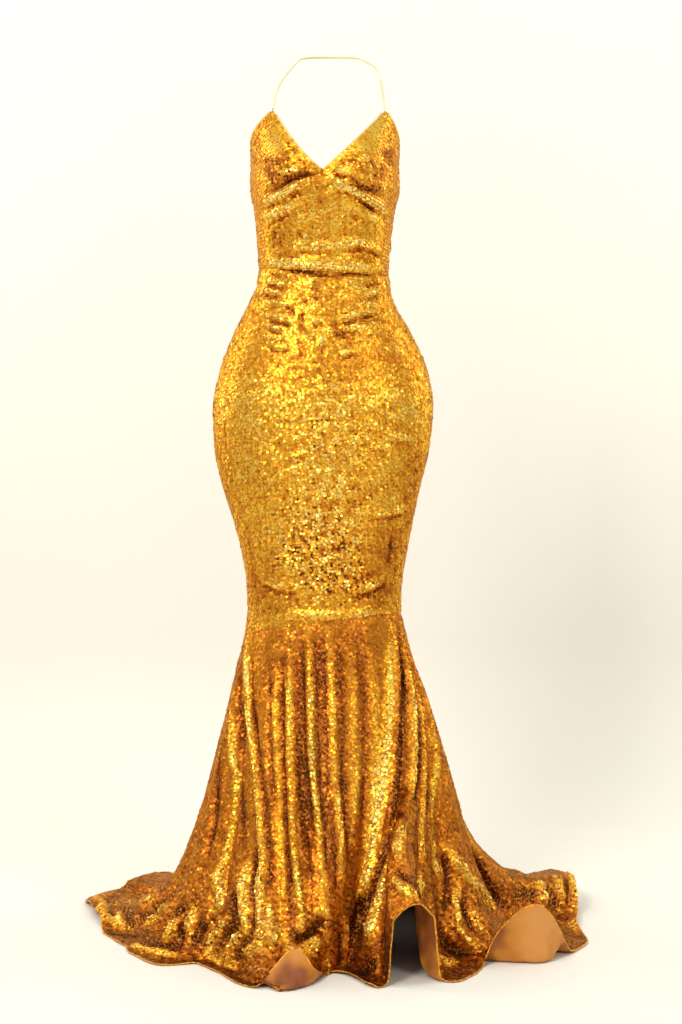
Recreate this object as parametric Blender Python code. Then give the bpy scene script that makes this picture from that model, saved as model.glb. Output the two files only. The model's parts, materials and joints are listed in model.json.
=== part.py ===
"""Evening gown: a halter mermaid dress in one stretch cloth, in the hollow form it is worn in.

Metres, +Z up. +X is the wearer's left, -Y is the front. The origin is the nape of the neck, where
the strap hangs, and the hem meets the floor. Heights in the tables are above that floor, and angles
go round the body in degrees: 0 at the centre front, 90 at the wearer's left, 180 behind.
"""

import math
from collections import namedtuple

import bmesh
import bpy
from mathutils import Vector

for old in list(bpy.data.objects):
    bpy.data.objects.remove(old, do_unlink=True)

# ---- driving sizes -----------------------------------------------------------------------------

NAPE_HEIGHT = 1.500
NECK_AXIS_Y = -0.055
WALL = 0.0016
SEAM_GAP = 0.0004
EDGE_GAP = 0.0005
SIDE_SEAM = 61.0
BACK_GORE_SEAM = 103.0

V_POINT_ANGLE = -1.0
V_POINT_HEIGHT = 1.292
RIGHT_APEX_ANGLE = -43.0
LEFT_APEX_ANGLE = 51.0
APEX_HEIGHT = 1.398
ARMHOLE_SIDE_HEIGHT = 1.345
BACK_DIP_HEIGHT = 1.200
RIGHT_NECKLINE_BOW = 1.25
ARMHOLE_BOW = 1.15
BACK_EDGE_BOW = 1.7
UNDERBUST_FROM_V = 0.004
RIGHT_UNDERBUST_DROP = 0.056
RIGHT_UNDERBUST_BOW = 1.7
LEFT_UNDERBUST_DROP = 0.085

WAIST_HEIGHT = 1.127
WAIST_TILT = 0.006
KNEE_SEAM_HEIGHT = 0.530
KNEE_SEAM_TILT = 0.018
KNEE_SEAM_FRONT_RISE = 0.015

BINDING_RADIUS = 0.0013
STRAP_RADIUS = 0.0022
STRAP_ROOT_RISE = 0.004
STRAP_CLEAR_TURN = 3.0

# Rounded lengths that turn a seam's gap into a share of the cloth.
BODY_RADIUS = 0.11
FLARE_RADIUS = 0.19
FLARE_LENGTH = 0.60

# How the flare's cloth leaves the knee seam: its folds drift round towards the hem, the seam's own
# form is held for a short way, and the hem's lifts and spreads start part of the way down. An arch
# is steep at its sides and a little round on top. A lip takes the last part of its cloth's length.
DRIFT_POWER = 1.4
HOLD_POWER = 4
LIFT_FROM, LIFT_FULL, LIFT_PAST, SPREAD_FROM = 0.35, 0.85, 0.25, 0.72
ARCH_FLATNESS, ARCH_ROUNDNESS, LIP_FROM = 0.2, 0.25, 0.86

# Small steps that find the way a surface faces and an edge's slant, and how finely lines are read.
EDGE_STEP = 0.006
ANGLE_STEP = 0.4
LEVEL_STEP = 0.004
FACE_UP = 0.02
FINE_STEPS = 600

# ---- tables ------------------------------------------------------------------------------------

# The figure's sections: half its width, and how far it reaches before and behind the neck's axis.
Section = namedtuple("Section", "height centre half_width front back")
SECTIONS = (
    Section(1.430, -0.004, 0.131, 0.070, 0.078),
    Section(1.350, -0.007, 0.127, 0.096, 0.086),
    Section(1.280, -0.007, 0.1255, 0.106, 0.082),
    Section(1.210, -0.008, 0.1165, 0.099, 0.072),
    Section(1.153, -0.009, 0.1115, 0.090, 0.065),
    Section(1.128, -0.009, 0.1105, 0.088, 0.064),
    Section(1.105, -0.009, 0.1130, 0.089, 0.067),
    Section(1.080, -0.013, 0.1208, 0.093, 0.075),
    Section(1.020, -0.011, 0.1520, 0.103, 0.098),
    Section(0.957, -0.009, 0.1768, 0.111, 0.118),
    Section(0.900, -0.010, 0.1868, 0.115, 0.127),
    Section(0.830, -0.012, 0.1827, 0.114, 0.123),
    Section(0.774, -0.013, 0.1704, 0.112, 0.113),
    Section(0.709, -0.010, 0.1532, 0.107, 0.103),
    Section(0.656, -0.008, 0.1409, 0.103, 0.095),
    Section(0.597, -0.008, 0.1315, 0.100, 0.090),
    Section(0.557, -0.008, 0.1300, 0.099, 0.090),
    Section(0.517, -0.008, 0.1340, 0.101, 0.094),
    Section(0.480, -0.007, 0.1400, 0.106, 0.100),
)

# The bust's two mounds, added before the sections. They fade out over the last third of the front.
BUST_RISE = 0.022
BUST_HEIGHT = 1.283
BUST_CENTRE = 0.068
BUST_HALF_WIDTH = 0.050
BUST_HALF_HEIGHT = 0.050
BUST_FADE = 3.0

# The flare falls from the knee seam (fall 0) to the hem (fall 1): its height and its reach from
# the neck's axis to each side, and how much of each fold's full depth it has there.
Level = namedtuple("Level", "fall height front right left back fold")
LEVELS = (
    Level(0.00, 0.530, 0.100, 0.141, 0.125, 0.092, 0.00),
    Level(0.12, 0.462, 0.111, 0.155, 0.142, 0.107, 0.16),
    Level(0.24, 0.400, 0.126, 0.168, 0.166, 0.128, 0.28),
    Level(0.38, 0.314, 0.148, 0.188, 0.191, 0.162, 0.42),
    Level(0.52, 0.229, 0.177, 0.206, 0.214, 0.205, 0.58),
    Level(0.68, 0.127, 0.217, 0.235, 0.241, 0.265, 0.78),
    Level(0.80, 0.050, 0.256, 0.270, 0.279, 0.325, 0.92),
    Level(0.87, 0.010, 0.286, 0.310, 0.318, 0.380, 1.00),
    Level(0.92, 0.003, 0.302, 0.350, 0.362, 0.440, 0.75),
    Level(1.00, 0.003, 0.322, 0.388, 0.428, 0.540, 0.35),
)

# The flare's folds, going round: the angle of each at the knee seam and at the hem, half its width
# at the hem in degrees, how far it stands out (a groove is negative), and how far it lifts the hem.
Fold = namedtuple("Fold", "seam hem half_width rise lift")
FOLDS = (
    Fold(-99.0, -103.0, 9.0, 0.022, 0.012),
    Fold(-86.0, -84.0, 9.0, -0.022, 0.000),
    Fold(-74.0, -66.0, 8.0, 0.020, 0.000),
    Fold(-62.0, -47.0, 10.0, -0.026, 0.000),
    Fold(-45.0, -18.0, 13.0, 0.026, 0.000),
    Fold(-26.0, -8.0, 5.0, 0.013, 0.000),
    Fold(-13.0, -2.0, 3.5, 0.008, 0.000),
    Fold(2.0, 1.5, 3.0, 0.006, 0.000),
    Fold(57.0, 5.5, 5.0, -0.045, 0.004),
    Fold(64.0, 10.5, 5.0, 0.022, 0.000),
    Fold(71.0, 18.2, 6.6, 0.012, 0.126),
    Fold(78.0, 26.0, 6.5, 0.014, 0.000),
    Fold(86.0, 42.0, 9.0, -0.024, 0.000),
    Fold(94.0, 60.0, 12.0, 0.008, 0.000),
    Fold(101.0, 81.0, 8.0, 0.010, 0.000),
    Fold(108.0, 95.0, 8.0, -0.022, 0.000),
    Fold(118.0, 115.0, 13.0, 0.026, 0.042),
    Fold(131.0, 131.0, 12.0, 0.016, 0.000),
    Fold(143.0, 144.0, 7.0, -0.030, 0.000),
    Fold(154.0, 154.0, 10.0, 0.034, 0.026),
    Fold(167.0, 166.0, 7.0, -0.030, 0.000),
    Fold(181.0, 181.0, 12.0, 0.034, 0.022),
    Fold(194.0, 195.0, 7.0, -0.026, 0.000),
    Fold(207.0, 208.0, 11.0, 0.030, 0.024),
    Fold(220.0, 221.0, 7.0, -0.022, 0.000),
    Fold(231.0, 230.0, 8.0, 0.018, 0.014),
    Fold(241.0, 241.0, 9.0, -0.010, 0.000),
    Fold(251.0, 250.0, 7.0, -0.014, 0.000),
)

# How much further than its oval the hem spreads over the floor, by the angle at the hem.
Reach = namedtuple("Reach", "hem spread")
REACHES = (
    Reach(-98.0, 0.010),
    Reach(-84.0, -0.012),
    Reach(-71.5, -0.036),
    Reach(-58.0, -0.024),
    Reach(-48.0, -0.010),
    Reach(-41.0, -0.062),
    Reach(-30.0, -0.036),
    Reach(-17.0, 0.018),
    Reach(-10.0, 0.034),
    Reach(-4.0, 0.018),
    Reach(0.5, -0.075),
    Reach(4.5, -0.045),
    Reach(9.5, 0.014),
    Reach(13.0, 0.004),
    Reach(18.2, 0.012),
    Reach(23.0, 0.000),
    Reach(27.0, 0.014),
    Reach(33.0, -0.006),
    Reach(44.0, -0.042),
    Reach(53.0, 0.002),
    Reach(66.0, 0.006),
    Reach(77.0, 0.010),
    Reach(90.0, 0.004),
    Reach(100.0, 0.013),
    Reach(117.0, 0.046),
    Reach(130.0, 0.070),
    Reach(141.0, 0.105),
    Reach(148.0, 0.060),
    Reach(156.0, 0.095),
    Reach(167.0, 0.035),
    Reach(181.0, 0.050),
    Reach(195.0, 0.035),
    Reach(208.0, 0.060),
    Reach(221.0, 0.042),
    Reach(230.0, 0.050),
    Reach(247.0, 0.092),
    Reach(255.0, 0.040),
)

# Where the hem turns up into a lip that shows its inner face: the angle at the hem, how far it goes
# before and after that in degrees, how high the lip's edge stands, and how far out it leans.
Lip = namedtuple("Lip", "hem before after rise lean")
LIPS = (
    Lip(-8.0, 8.5, 8.5, 0.050, -0.050),
    Lip(52.0, 12.5, 17.0, 0.094, -0.006),
)

# The strap's route from one cup, round the nape, to the other: x, y before the neck's axis, height.
STRAP_ROUTE = (
    (-0.0860, -0.040, 1.436),
    (-0.0720, -0.022, 1.462),
    (-0.0560, 0.002, 1.484),
    (-0.0470, 0.027, 1.494),
    (-0.0270, 0.048, 1.499),
    (0.0000, 0.055, 1.500),
    (0.0280, 0.048, 1.499),
    (0.0500, 0.027, 1.495),
    (0.0610, 0.002, 1.487),
    (0.0780, -0.020, 1.474),
    (0.0870, -0.040, 1.450),
)


# ---- curves through the tables -----------------------------------------------------------------


def slope(rows, key, column, i):
    """A slope at row i that keeps the curve from passing the rows' own highs and lows."""
    sides = []
    for j in (max(i - 1, 0), min(i, len(rows) - 2)):
        rise = getattr(rows[j + 1], column) - getattr(rows[j], column)
        sides.append(rise / (getattr(rows[j + 1], key) - getattr(rows[j], key)))
    before, after = sides
    return 0.0 if before * after <= 0 else 2 * before * after / (before + after)


def read(rows, key, column, at):
    """A smooth curve through one column of a table, whose key rises or falls from row to row."""
    keys = [getattr(row, key) for row in rows]
    falling = keys[-1] < keys[0]
    at = min(max(at, min(keys)), max(keys))
    i = 0
    while i < len(rows) - 2 and (keys[i + 1] > at if falling else keys[i + 1] < at):
        i += 1
    span = keys[i + 1] - keys[i]
    t = (at - keys[i]) / span
    start, end = getattr(rows[i], column), getattr(rows[i + 1], column)
    start_slope = slope(rows, key, column, i) * span
    end_slope = slope(rows, key, column, i + 1) * span
    cubic = (2 * t**3 - 3 * t**2 + 1) * start + (t**3 - 2 * t**2 + t) * start_slope
    return cubic + (3 * t**2 - 2 * t**3) * end + (t**3 - t**2) * end_slope


def between(start, end, share):
    return start + (end - start) * share


def ease(low, high, at):
    """0 below low, 1 above high, and smooth between."""
    t = min(max((at - low) / (high - low), 0.0), 1.0)
    return t * t * (3 - 2 * t)


def mound(distance):
    """A round hill, 1 at its centre and 0 from a distance of 1."""
    return 0.0 if abs(distance) >= 1 else 0.5 + 0.5 * math.cos(math.pi * distance)


def round_from(angle, centre):
    """How far an angle is from another, the short way round."""
    return (angle - centre + 180) % 360 - 180


# ---- the body's form ---------------------------------------------------------------------------


def body_point(angle, height):
    """A place on the cloth's outer face from the neckline to the knee."""
    turn = math.radians(angle)
    depth = read(SECTIONS, "height", "front" if math.cos(turn) > 0 else "back", height)
    half_width = read(SECTIONS, "height", "half_width", height)
    x = half_width * math.sin(turn)
    y = -depth * math.cos(turn)
    if math.cos(turn) > 0:
        across = (abs(x) - BUST_CENTRE) / BUST_HALF_WIDTH
        up = (height - BUST_HEIGHT) / BUST_HALF_HEIGHT
        faded = min(1.0, BUST_FADE * math.cos(turn))
        y -= BUST_RISE * math.exp(-(across**2) - up**2) * faded
    x += read(SECTIONS, "height", "centre", height)
    return Vector((x, NECK_AXIS_Y + y, height - NAPE_HEIGHT))


def top_edge(angle):
    """The height of the neckline, armholes and back edge."""
    angle = (angle + 180) % 360 - 180
    if RIGHT_APEX_ANGLE <= angle <= V_POINT_ANGLE:
        t = (angle - V_POINT_ANGLE) / (RIGHT_APEX_ANGLE - V_POINT_ANGLE)
        return V_POINT_HEIGHT + (APEX_HEIGHT - V_POINT_HEIGHT) * t**RIGHT_NECKLINE_BOW
    if V_POINT_ANGLE < angle <= LEFT_APEX_ANGLE:
        t = (angle - V_POINT_ANGLE) / (LEFT_APEX_ANGLE - V_POINT_ANGLE)
        return V_POINT_HEIGHT + (APEX_HEIGHT - V_POINT_HEIGHT) * t
    apex = LEFT_APEX_ANGLE if angle > 0 else -RIGHT_APEX_ANGLE
    if abs(angle) < 90:
        t = (90 - abs(angle)) / (90 - apex)
        return ARMHOLE_SIDE_HEIGHT + (APEX_HEIGHT - ARMHOLE_SIDE_HEIGHT) * t**ARMHOLE_BOW
    t = (180 - abs(angle)) / 90
    return BACK_DIP_HEIGHT + (ARMHOLE_SIDE_HEIGHT - BACK_DIP_HEIGHT) * t**BACK_EDGE_BOW


def underbust(angle):
    """The height of the seam under the cups."""
    reach = abs(math.sin(math.radians(angle - V_POINT_ANGLE)))
    left = LEFT_UNDERBUST_DROP * reach
    right = RIGHT_UNDERBUST_DROP * reach**RIGHT_UNDERBUST_BOW
    return V_POINT_HEIGHT - UNDERBUST_FROM_V - (left if angle > V_POINT_ANGLE else right)


def waist(angle):
    return WAIST_HEIGHT - WAIST_TILT * math.sin(math.radians(angle))


def knee_seam(angle):
    turn = math.radians(angle)
    return KNEE_SEAM_HEIGHT + KNEE_SEAM_TILT * math.sin(turn) + KNEE_SEAM_FRONT_RISE * math.cos(turn)


# ---- the flare's form --------------------------------------------------------------------------


Drift = namedtuple("Drift", "seam hem")
DRIFT = [Drift(fold.seam + turn, fold.hem + turn) for turn in (-360, 0, 360) for fold in FOLDS]
OUTLINE = [Reach(at.hem + turn, at.spread) for turn in (-360, 0, 360) for at in REACHES]


def hem_angle(angle):
    """The angle at the hem of the line of cloth that leaves the knee seam at an angle."""
    return read(DRIFT, "seam", "hem", angle)


def lip_share(lip, hem):
    """How far the hem is turned up at an angle, from 0 to 1 at the lip's middle."""
    away = round_from(hem, lip.hem)
    return mound(away / (lip.before if away < 0 else lip.after))


def flare_point(angle, fall):
    """A place on the outer face of the line of cloth that leaves the knee seam at an angle."""
    hem = hem_angle(angle)
    turn = math.radians(between(angle, hem, 1 - (1 - min(max(fall, 0.0), 1.0)) ** DRIFT_POWER))
    near_seam = (1 - fall) ** HOLD_POWER
    lips = [(lip, lip_share(lip, hem)) for lip in LIPS]
    turned_up = ease(LIP_FROM, 1.0, fall)
    fall = min(fall / between(1.0, LIP_FROM, max(share for lip, share in lips)), 1.0)
    side = "left" if math.sin(turn) > 0 else "right"
    face = "front" if math.cos(turn) > 0 else "back"
    x = read(LEVELS, "fall", side, fall) * math.sin(turn)
    y = -read(LEVELS, "fall", face, fall) * math.cos(turn)
    seam = body_point(angle, knee_seam(angle))
    start = math.radians(angle)
    start_side = "left" if math.sin(start) > 0 else "right"
    start_face = "front" if math.cos(start) > 0 else "back"
    x += (seam.x - getattr(LEVELS[0], start_side) * math.sin(start)) * near_seam
    y += (seam.y - NECK_AXIS_Y + getattr(LEVELS[0], start_face) * math.cos(start)) * near_seam
    height = read(LEVELS, "fall", "height", fall)
    height += (knee_seam(angle) - KNEE_SEAM_HEIGHT) * near_seam
    deep = read(LEVELS, "fall", "fold", fall)
    lifts = ease(LIFT_FROM, LIFT_FULL, fall) * (1 + LIFT_PAST) - ease(LIFT_FULL, 1.0, fall) * LIFT_PAST
    stands = read(OUTLINE, "hem", "spread", hem) * ease(SPREAD_FROM, 1.0, fall)
    for fold in FOLDS:
        share = mound(round_from(hem, fold.hem) / fold.half_width)
        stands += share * fold.rise * deep
        height += between(ease(0, ARCH_FLATNESS, share), share, ARCH_ROUNDNESS) * fold.lift * lifts
    for lip, share in lips:
        stands += share * lip.lean * turned_up
        height += share * lip.rise * turned_up
    x += math.sin(turn) * stands
    y -= math.cos(turn) * stands
    return Vector((x, NECK_AXIS_Y + y, height - NAPE_HEIGHT))


# ---- making the pieces -------------------------------------------------------------------------


def material(name, colour, roughness, metallic):
    made = bpy.data.materials.new(name)
    made.use_nodes = True
    shader = made.node_tree.nodes["Principled BSDF"]
    shader.inputs["Base Color"].default_value = (*colour, 1)
    shader.inputs["Roughness"].default_value = roughness
    shader.inputs["Metallic"].default_value = metallic
    return made


def place(name, data, finish):
    piece = bpy.data.objects.new(name, data)
    bpy.context.scene.collection.objects.link(piece)
    data.materials.append(finish)
    return piece


def facing(form, angle, level):
    """The outward direction of a form at one place."""
    across = form(angle + ANGLE_STEP, level) - form(angle - ANGLE_STEP, level)
    down = form(angle, level + LEVEL_STEP) - form(angle, level - LEVEL_STEP)
    out = across.cross(down).normalized()
    place_out = form(angle, level) - Vector((0, NECK_AXIS_Y, 0))
    return out if out.dot(Vector((place_out.x, place_out.y, FACE_UP))) > 0 else -out


def cloth_panel(name, form, turns, levels, finish):
    """A wall of cloth on a form, with a column at each angle. levels(angle) lists its rows."""
    mesh = bmesh.new()
    outer, inner = [], []
    for angle in turns:
        places = [(form(angle, level), facing(form, angle, level)) for level in levels(angle)]
        outer.append([mesh.verts.new(point) for point, out in places])
        inner.append([mesh.verts.new(point - out * WALL) for point, out in places])
    last = len(outer[0]) - 1
    for left, right, left_in, right_in in zip(outer, outer[1:], inner, inner[1:]):
        for j in range(last):
            mesh.faces.new((left[j], left[j + 1], right[j + 1], right[j]))
            mesh.faces.new((left_in[j], right_in[j], right_in[j + 1], left_in[j + 1]))
        mesh.faces.new((left[0], right[0], right_in[0], left_in[0]))
        mesh.faces.new((left[last], left_in[last], right_in[last], right[last]))
    for j in range(last):
        mesh.faces.new((outer[0][j], inner[0][j], inner[0][j + 1], outer[0][j + 1]))
        mesh.faces.new((outer[-1][j], outer[-1][j + 1], inner[-1][j + 1], inner[-1][j]))
    data = bpy.data.meshes.new(name)
    mesh.to_mesh(data)
    mesh.free()
    data.shade_smooth()
    data.set_sharp_from_angle(angle=math.radians(40))
    return place(name, data, finish)


def round_cord(name, points, radius, roundness, finish):
    """A round cord with closed ends along a list of places."""
    data = bpy.data.curves.new(name, "CURVE")
    data.dimensions = "3D"
    data.bevel_depth = radius
    data.bevel_resolution = roundness
    data.use_fill_caps = True
    line = data.splines.new("POLY")
    line.points.add(len(points) - 1)
    for spot, point in zip(line.points, points):
        spot.co = (*point, 1)
    return place(name, data, finish)


def past_edge(edge, inside, distance):
    """The places of an edge moved out past it, in the cloth's own face, to the middle of its wall."""
    moved = []
    for i, point in enumerate(edge):
        run = (edge[min(i + 1, len(edge) - 1)] - edge[max(i - 1, 0)]).normalized()
        out = point - inside[i]
        out = (out - run * out.dot(run)).normalized()
        face = run.cross(out)
        if face.dot(Vector((point.x, point.y - NECK_AXIS_Y, 0))) < 0:
            face = -face
        moved.append(point + out * distance - face * WALL / 2)
    return moved


def curve_through(points, steps):
    """Places along a smooth curve through a few points."""
    smooth = []
    for i in range(len(points) - 1):
        before, after = points[max(i - 1, 0)], points[min(i + 2, len(points) - 1)]
        start, end = points[i], points[i + 1]
        for step in range(steps):
            t = step / steps
            along = (end - before) * 0.5 * (t**3 - 2 * t**2 + t) + (after - start) * 0.5 * (t**3 - t**2)
            smooth.append(start * (2 * t**3 - 3 * t**2 + 1) + end * (3 * t**2 - 2 * t**3) + along)
    smooth.append(points[-1])
    return smooth


def spread(start, end, count):
    """Angles from start to end, with count steps."""
    return [between(start, end, i / count) for i in range(count + 1)]


def flare_turns(start, end, count):
    """Angles at the knee seam whose lines of cloth are evenly spread over the flare."""

    def middle(angle):
        return (angle + hem_angle(angle)) / 2

    fine = spread(start, end, FINE_STEPS)
    turns = [start]
    for place in spread(middle(start), middle(end), count)[1:-1]:
        turns.append(min(fine, key=lambda angle: abs(middle(angle) - place)))
    return [*turns, end]


def parted(turns, half_gap):
    """The same angles with the first and last drawn in by half a seam's gap."""
    return [turns[0] + half_gap, *turns[1:-1], turns[-1] - half_gap]


def body_panel(name, turns, low, high, rows):
    """A panel of the body between two seams, both given as heights by angle."""

    def levels(angle):
        top = high(angle) - SEAM_GAP / 2
        return spread(top, low(angle) + SEAM_GAP / 2, rows)

    gap_turn = math.degrees(SEAM_GAP / 2 / BODY_RADIUS)
    return cloth_panel(name, body_point, parted(turns, gap_turn), levels, SEQUIN_CLOTH)


def flare_panel(name, turns):
    """A panel of the flare, parted from the skirt above it."""

    def levels(angle):
        return [SEAM_GAP / FLARE_LENGTH, *FLARE_ROWS]

    gap_turn = math.degrees(SEAM_GAP / 2 / FLARE_RADIUS)
    return cloth_panel(name, flare_point, parted(turns, gap_turn), levels, SEQUIN_CLOTH)


def edge_binding(name, turns):
    """The binding along the top edge."""
    edge = [body_point(angle, top_edge(angle)) for angle in turns]
    inside = [body_point(angle, top_edge(angle) - EDGE_STEP) for angle in turns]
    line = past_edge(edge, inside, BINDING_RADIUS + EDGE_GAP)
    return round_cord(name, line, BINDING_RADIUS, 0, BINDING_CLOTH)


# ---- the gown ----------------------------------------------------------------------------------

SEQUIN_CLOTH = material("sequin_cloth", (0.62, 0.34, 0.05), 0.35, 0.6)
BINDING_CLOTH = material("binding_cloth", (0.90, 0.78, 0.45), 0.5, 0.0)
STRAP_CLOTH = material("strap_cloth", (0.93, 0.86, 0.62), 0.5, 0.0)

front_turns = spread(-SIDE_SEAM, SIDE_SEAM, 20)
back_turns = spread(SIDE_SEAM, 360 - SIDE_SEAM, 30)
right_armhole = spread(-SIDE_SEAM, RIGHT_APEX_ANGLE, 4)
right_neckline = spread(RIGHT_APEX_ANGLE, V_POINT_ANGLE, 12)
left_neckline = spread(V_POINT_ANGLE, LEFT_APEX_ANGLE, 13)
left_armhole = spread(LEFT_APEX_ANGLE, SIDE_SEAM, 3)

body_panel("cup_right", right_armhole + right_neckline[1:], underbust, top_edge, 9)
body_panel("cup_left", left_neckline + left_armhole[1:], underbust, top_edge, 9)
body_panel("bodice_front", front_turns, waist, underbust, 9)
body_panel("bodice_back", back_turns, waist, top_edge, 13)
body_panel("skirt_front", front_turns, knee_seam, waist, 15)
body_panel("skirt_back_left", [turn for turn in back_turns if turn <= 180], knee_seam, waist, 15)
body_panel("skirt_back_right", [turn for turn in back_turns if turn >= 180], knee_seam, waist, 15)

# The flare's rows of mesh, as shares of its fall: closer where the cloth turns at the floor.
FLARE_ROWS = (0.10, 0.20, 0.30, 0.40, 0.50, 0.60, 0.69, 0.77, 0.83, 0.88, 0.92, 0.96, 1.0)
FLARE_PANELS = (
    ("flare_front", flare_turns(-SIDE_SEAM, SIDE_SEAM, 46)),
    ("flare_side_left", spread(SIDE_SEAM, BACK_GORE_SEAM, 36)),
    ("flare_back_left", flare_turns(BACK_GORE_SEAM, 180.0, 22)),
    ("flare_back_right", flare_turns(180.0, 360 - BACK_GORE_SEAM, 22)),
    ("flare_side_right", flare_turns(360 - BACK_GORE_SEAM, 360 - SIDE_SEAM, 16)),
)
for name, turns in FLARE_PANELS:
    flare_panel(name, turns)

# One binding follows the V, and one the armholes and the back. Both stop short of the strap's ends.
right_start, left_end = RIGHT_APEX_ANGLE + STRAP_CLEAR_TURN, LEFT_APEX_ANGLE - STRAP_CLEAR_TURN
edge_binding("neckline_binding", [right_start, *right_neckline[1:], *left_neckline[1:-1], left_end])
left_start, right_end = LEFT_APEX_ANGLE + STRAP_CLEAR_TURN, 360 + RIGHT_APEX_ANGLE - STRAP_CLEAR_TURN
right_turns = [360 + angle for angle in right_armhole[1:-1]]
edge_binding("back_binding", [left_start, *left_armhole[1:], *back_turns[1:], *right_turns, right_end])

# One narrow strap runs from cup to cup round the nape.
route = [Vector((x, NECK_AXIS_Y + y, height - NAPE_HEIGHT)) for x, y, height in STRAP_ROUTE]
for angle, end in ((RIGHT_APEX_ANGLE, 0), (LEFT_APEX_ANGLE, len(route) + 1)):
    root = body_point(angle, APEX_HEIGHT) + Vector((0, WALL / 2, STRAP_ROOT_RISE))
    route.insert(end, root)
round_cord("halter_strap", curve_through(route, 4), STRAP_RADIUS, 1, STRAP_CLOTH)
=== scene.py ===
"""Evening gown: the finish, folds, sequins and trims of a halter mermaid gown in gold sequin net.

Metres, +Z up, the origin at the nape. +X is the wearer's left and -Y the front. Heights in the
tables are above the floor that the hem meets. Angles go round the body in degrees: 0 at the centre
front, 90 at the wearer's left, 180 behind.
"""

import json
import math
from collections import namedtuple

import bpy
import numpy as np
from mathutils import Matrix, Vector

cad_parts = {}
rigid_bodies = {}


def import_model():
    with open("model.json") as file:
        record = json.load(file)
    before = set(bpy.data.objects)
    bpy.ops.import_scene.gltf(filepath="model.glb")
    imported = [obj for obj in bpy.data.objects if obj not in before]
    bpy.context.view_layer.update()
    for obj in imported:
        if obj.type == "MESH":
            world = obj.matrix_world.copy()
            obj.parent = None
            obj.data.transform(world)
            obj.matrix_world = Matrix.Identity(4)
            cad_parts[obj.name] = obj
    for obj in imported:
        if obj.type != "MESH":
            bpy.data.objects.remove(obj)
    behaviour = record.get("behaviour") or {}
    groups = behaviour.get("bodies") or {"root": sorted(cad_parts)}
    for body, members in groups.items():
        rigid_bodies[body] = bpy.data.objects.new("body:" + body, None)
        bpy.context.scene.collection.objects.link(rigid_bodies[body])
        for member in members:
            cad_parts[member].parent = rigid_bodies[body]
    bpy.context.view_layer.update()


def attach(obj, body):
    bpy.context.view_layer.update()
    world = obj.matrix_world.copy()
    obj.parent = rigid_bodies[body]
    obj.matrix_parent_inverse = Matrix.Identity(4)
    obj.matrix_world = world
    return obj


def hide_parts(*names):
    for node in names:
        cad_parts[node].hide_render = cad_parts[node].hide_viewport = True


for old in list(bpy.data.objects):
    bpy.data.objects.remove(old, do_unlink=True)
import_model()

# ---- The cups and the bodice --------------------------------------------------------------------
# Two triangular cups and a fitted bodice, cut from one stretch net that is sewn all over with gold
# sequins and backed with an amber knit. Each panel is a thin shell on its solid's form. Its edges
# are turned in and seamed, and the cloth pulls into folds under the bust and at the waist.

NAPE_HEIGHT = 1.500
NECK_AXIS_Y = -0.055
SIDE_SEAM = 61.0
V_POINT_ANGLE, V_POINT_HEIGHT = -1.0, 1.292
RIGHT_APEX_ANGLE, LEFT_APEX_ANGLE, APEX_HEIGHT = -43.0, 51.0, 1.398
ARMHOLE_SIDE_HEIGHT, BACK_DIP_HEIGHT = 1.345, 1.200
RIGHT_NECKLINE_BOW, ARMHOLE_BOW, BACK_EDGE_BOW = 1.25, 1.15, 1.7
UNDERBUST_FROM_V, RIGHT_UNDERBUST_DROP, LEFT_UNDERBUST_DROP = 0.004, 0.056, 0.085
RIGHT_UNDERBUST_BOW = 1.7
WAIST_HEIGHT, WAIST_TILT = 1.127, 0.006

# The figure's sections: half its width, and how far it reaches before and behind the neck's axis.
Section = namedtuple("Section", "height centre half_width front back")
SECTIONS = (
    Section(1.430, -0.004, 0.131, 0.070, 0.078),
    Section(1.350, -0.007, 0.127, 0.096, 0.086),
    Section(1.280, -0.007, 0.1255, 0.106, 0.082),
    Section(1.210, -0.008, 0.1165, 0.099, 0.072),
    Section(1.153, -0.009, 0.1115, 0.090, 0.065),
    Section(1.128, -0.009, 0.1105, 0.088, 0.064),
    Section(1.105, -0.009, 0.1130, 0.089, 0.067),
    Section(1.080, -0.013, 0.1208, 0.093, 0.075),
    Section(1.020, -0.011, 0.1520, 0.103, 0.098),
    Section(0.957, -0.009, 0.1768, 0.111, 0.118),
    Section(0.900, -0.010, 0.1868, 0.115, 0.127),
    Section(0.830, -0.012, 0.1827, 0.114, 0.123),
    Section(0.774, -0.013, 0.1704, 0.112, 0.113),
    Section(0.709, -0.010, 0.1532, 0.107, 0.103),
    Section(0.656, -0.008, 0.1409, 0.103, 0.095),
    Section(0.597, -0.008, 0.1315, 0.100, 0.090),
    Section(0.557, -0.008, 0.1300, 0.099, 0.090),
    Section(0.517, -0.008, 0.1340, 0.101, 0.094),
    Section(0.480, -0.007, 0.1400, 0.106, 0.100),
)
BUST_RISE, BUST_FADE = 0.022, 3.0
BUST_HEIGHT, BUST_CENTRE, BUST_HALF_WIDTH, BUST_HALF_HEIGHT = 1.283, 0.068, 0.050, 0.050


def curve(table, column, at):
    """A smooth curve through one column of a table, that never passes the rows' own highs and lows."""
    keys = np.array([row[0] for row in table])
    values = np.array([getattr(row, column) for row in table])
    if keys[0] > keys[-1]:
        keys, values = keys[::-1], values[::-1]
    steps = np.diff(keys)
    secants = np.diff(values) / steps
    before, after = np.append(secants[0], secants), np.append(secants, secants[-1])
    same_way = before * after > 0
    slopes = np.where(same_way, 2 * before * after / np.where(same_way, before + after, 1), 0)
    at = np.clip(at, keys[0], keys[-1])
    i = np.clip(np.searchsorted(keys, at) - 1, 0, len(steps) - 1)
    t = (at - keys[i]) / steps[i]
    made = (2 * t**3 - 3 * t**2 + 1) * values[i] + (3 * t**2 - 2 * t**3) * values[i + 1]
    return made + ((t**3 - 2 * t**2 + t) * slopes[i] + (t**3 - t**2) * slopes[i + 1]) * steps[i]


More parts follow.
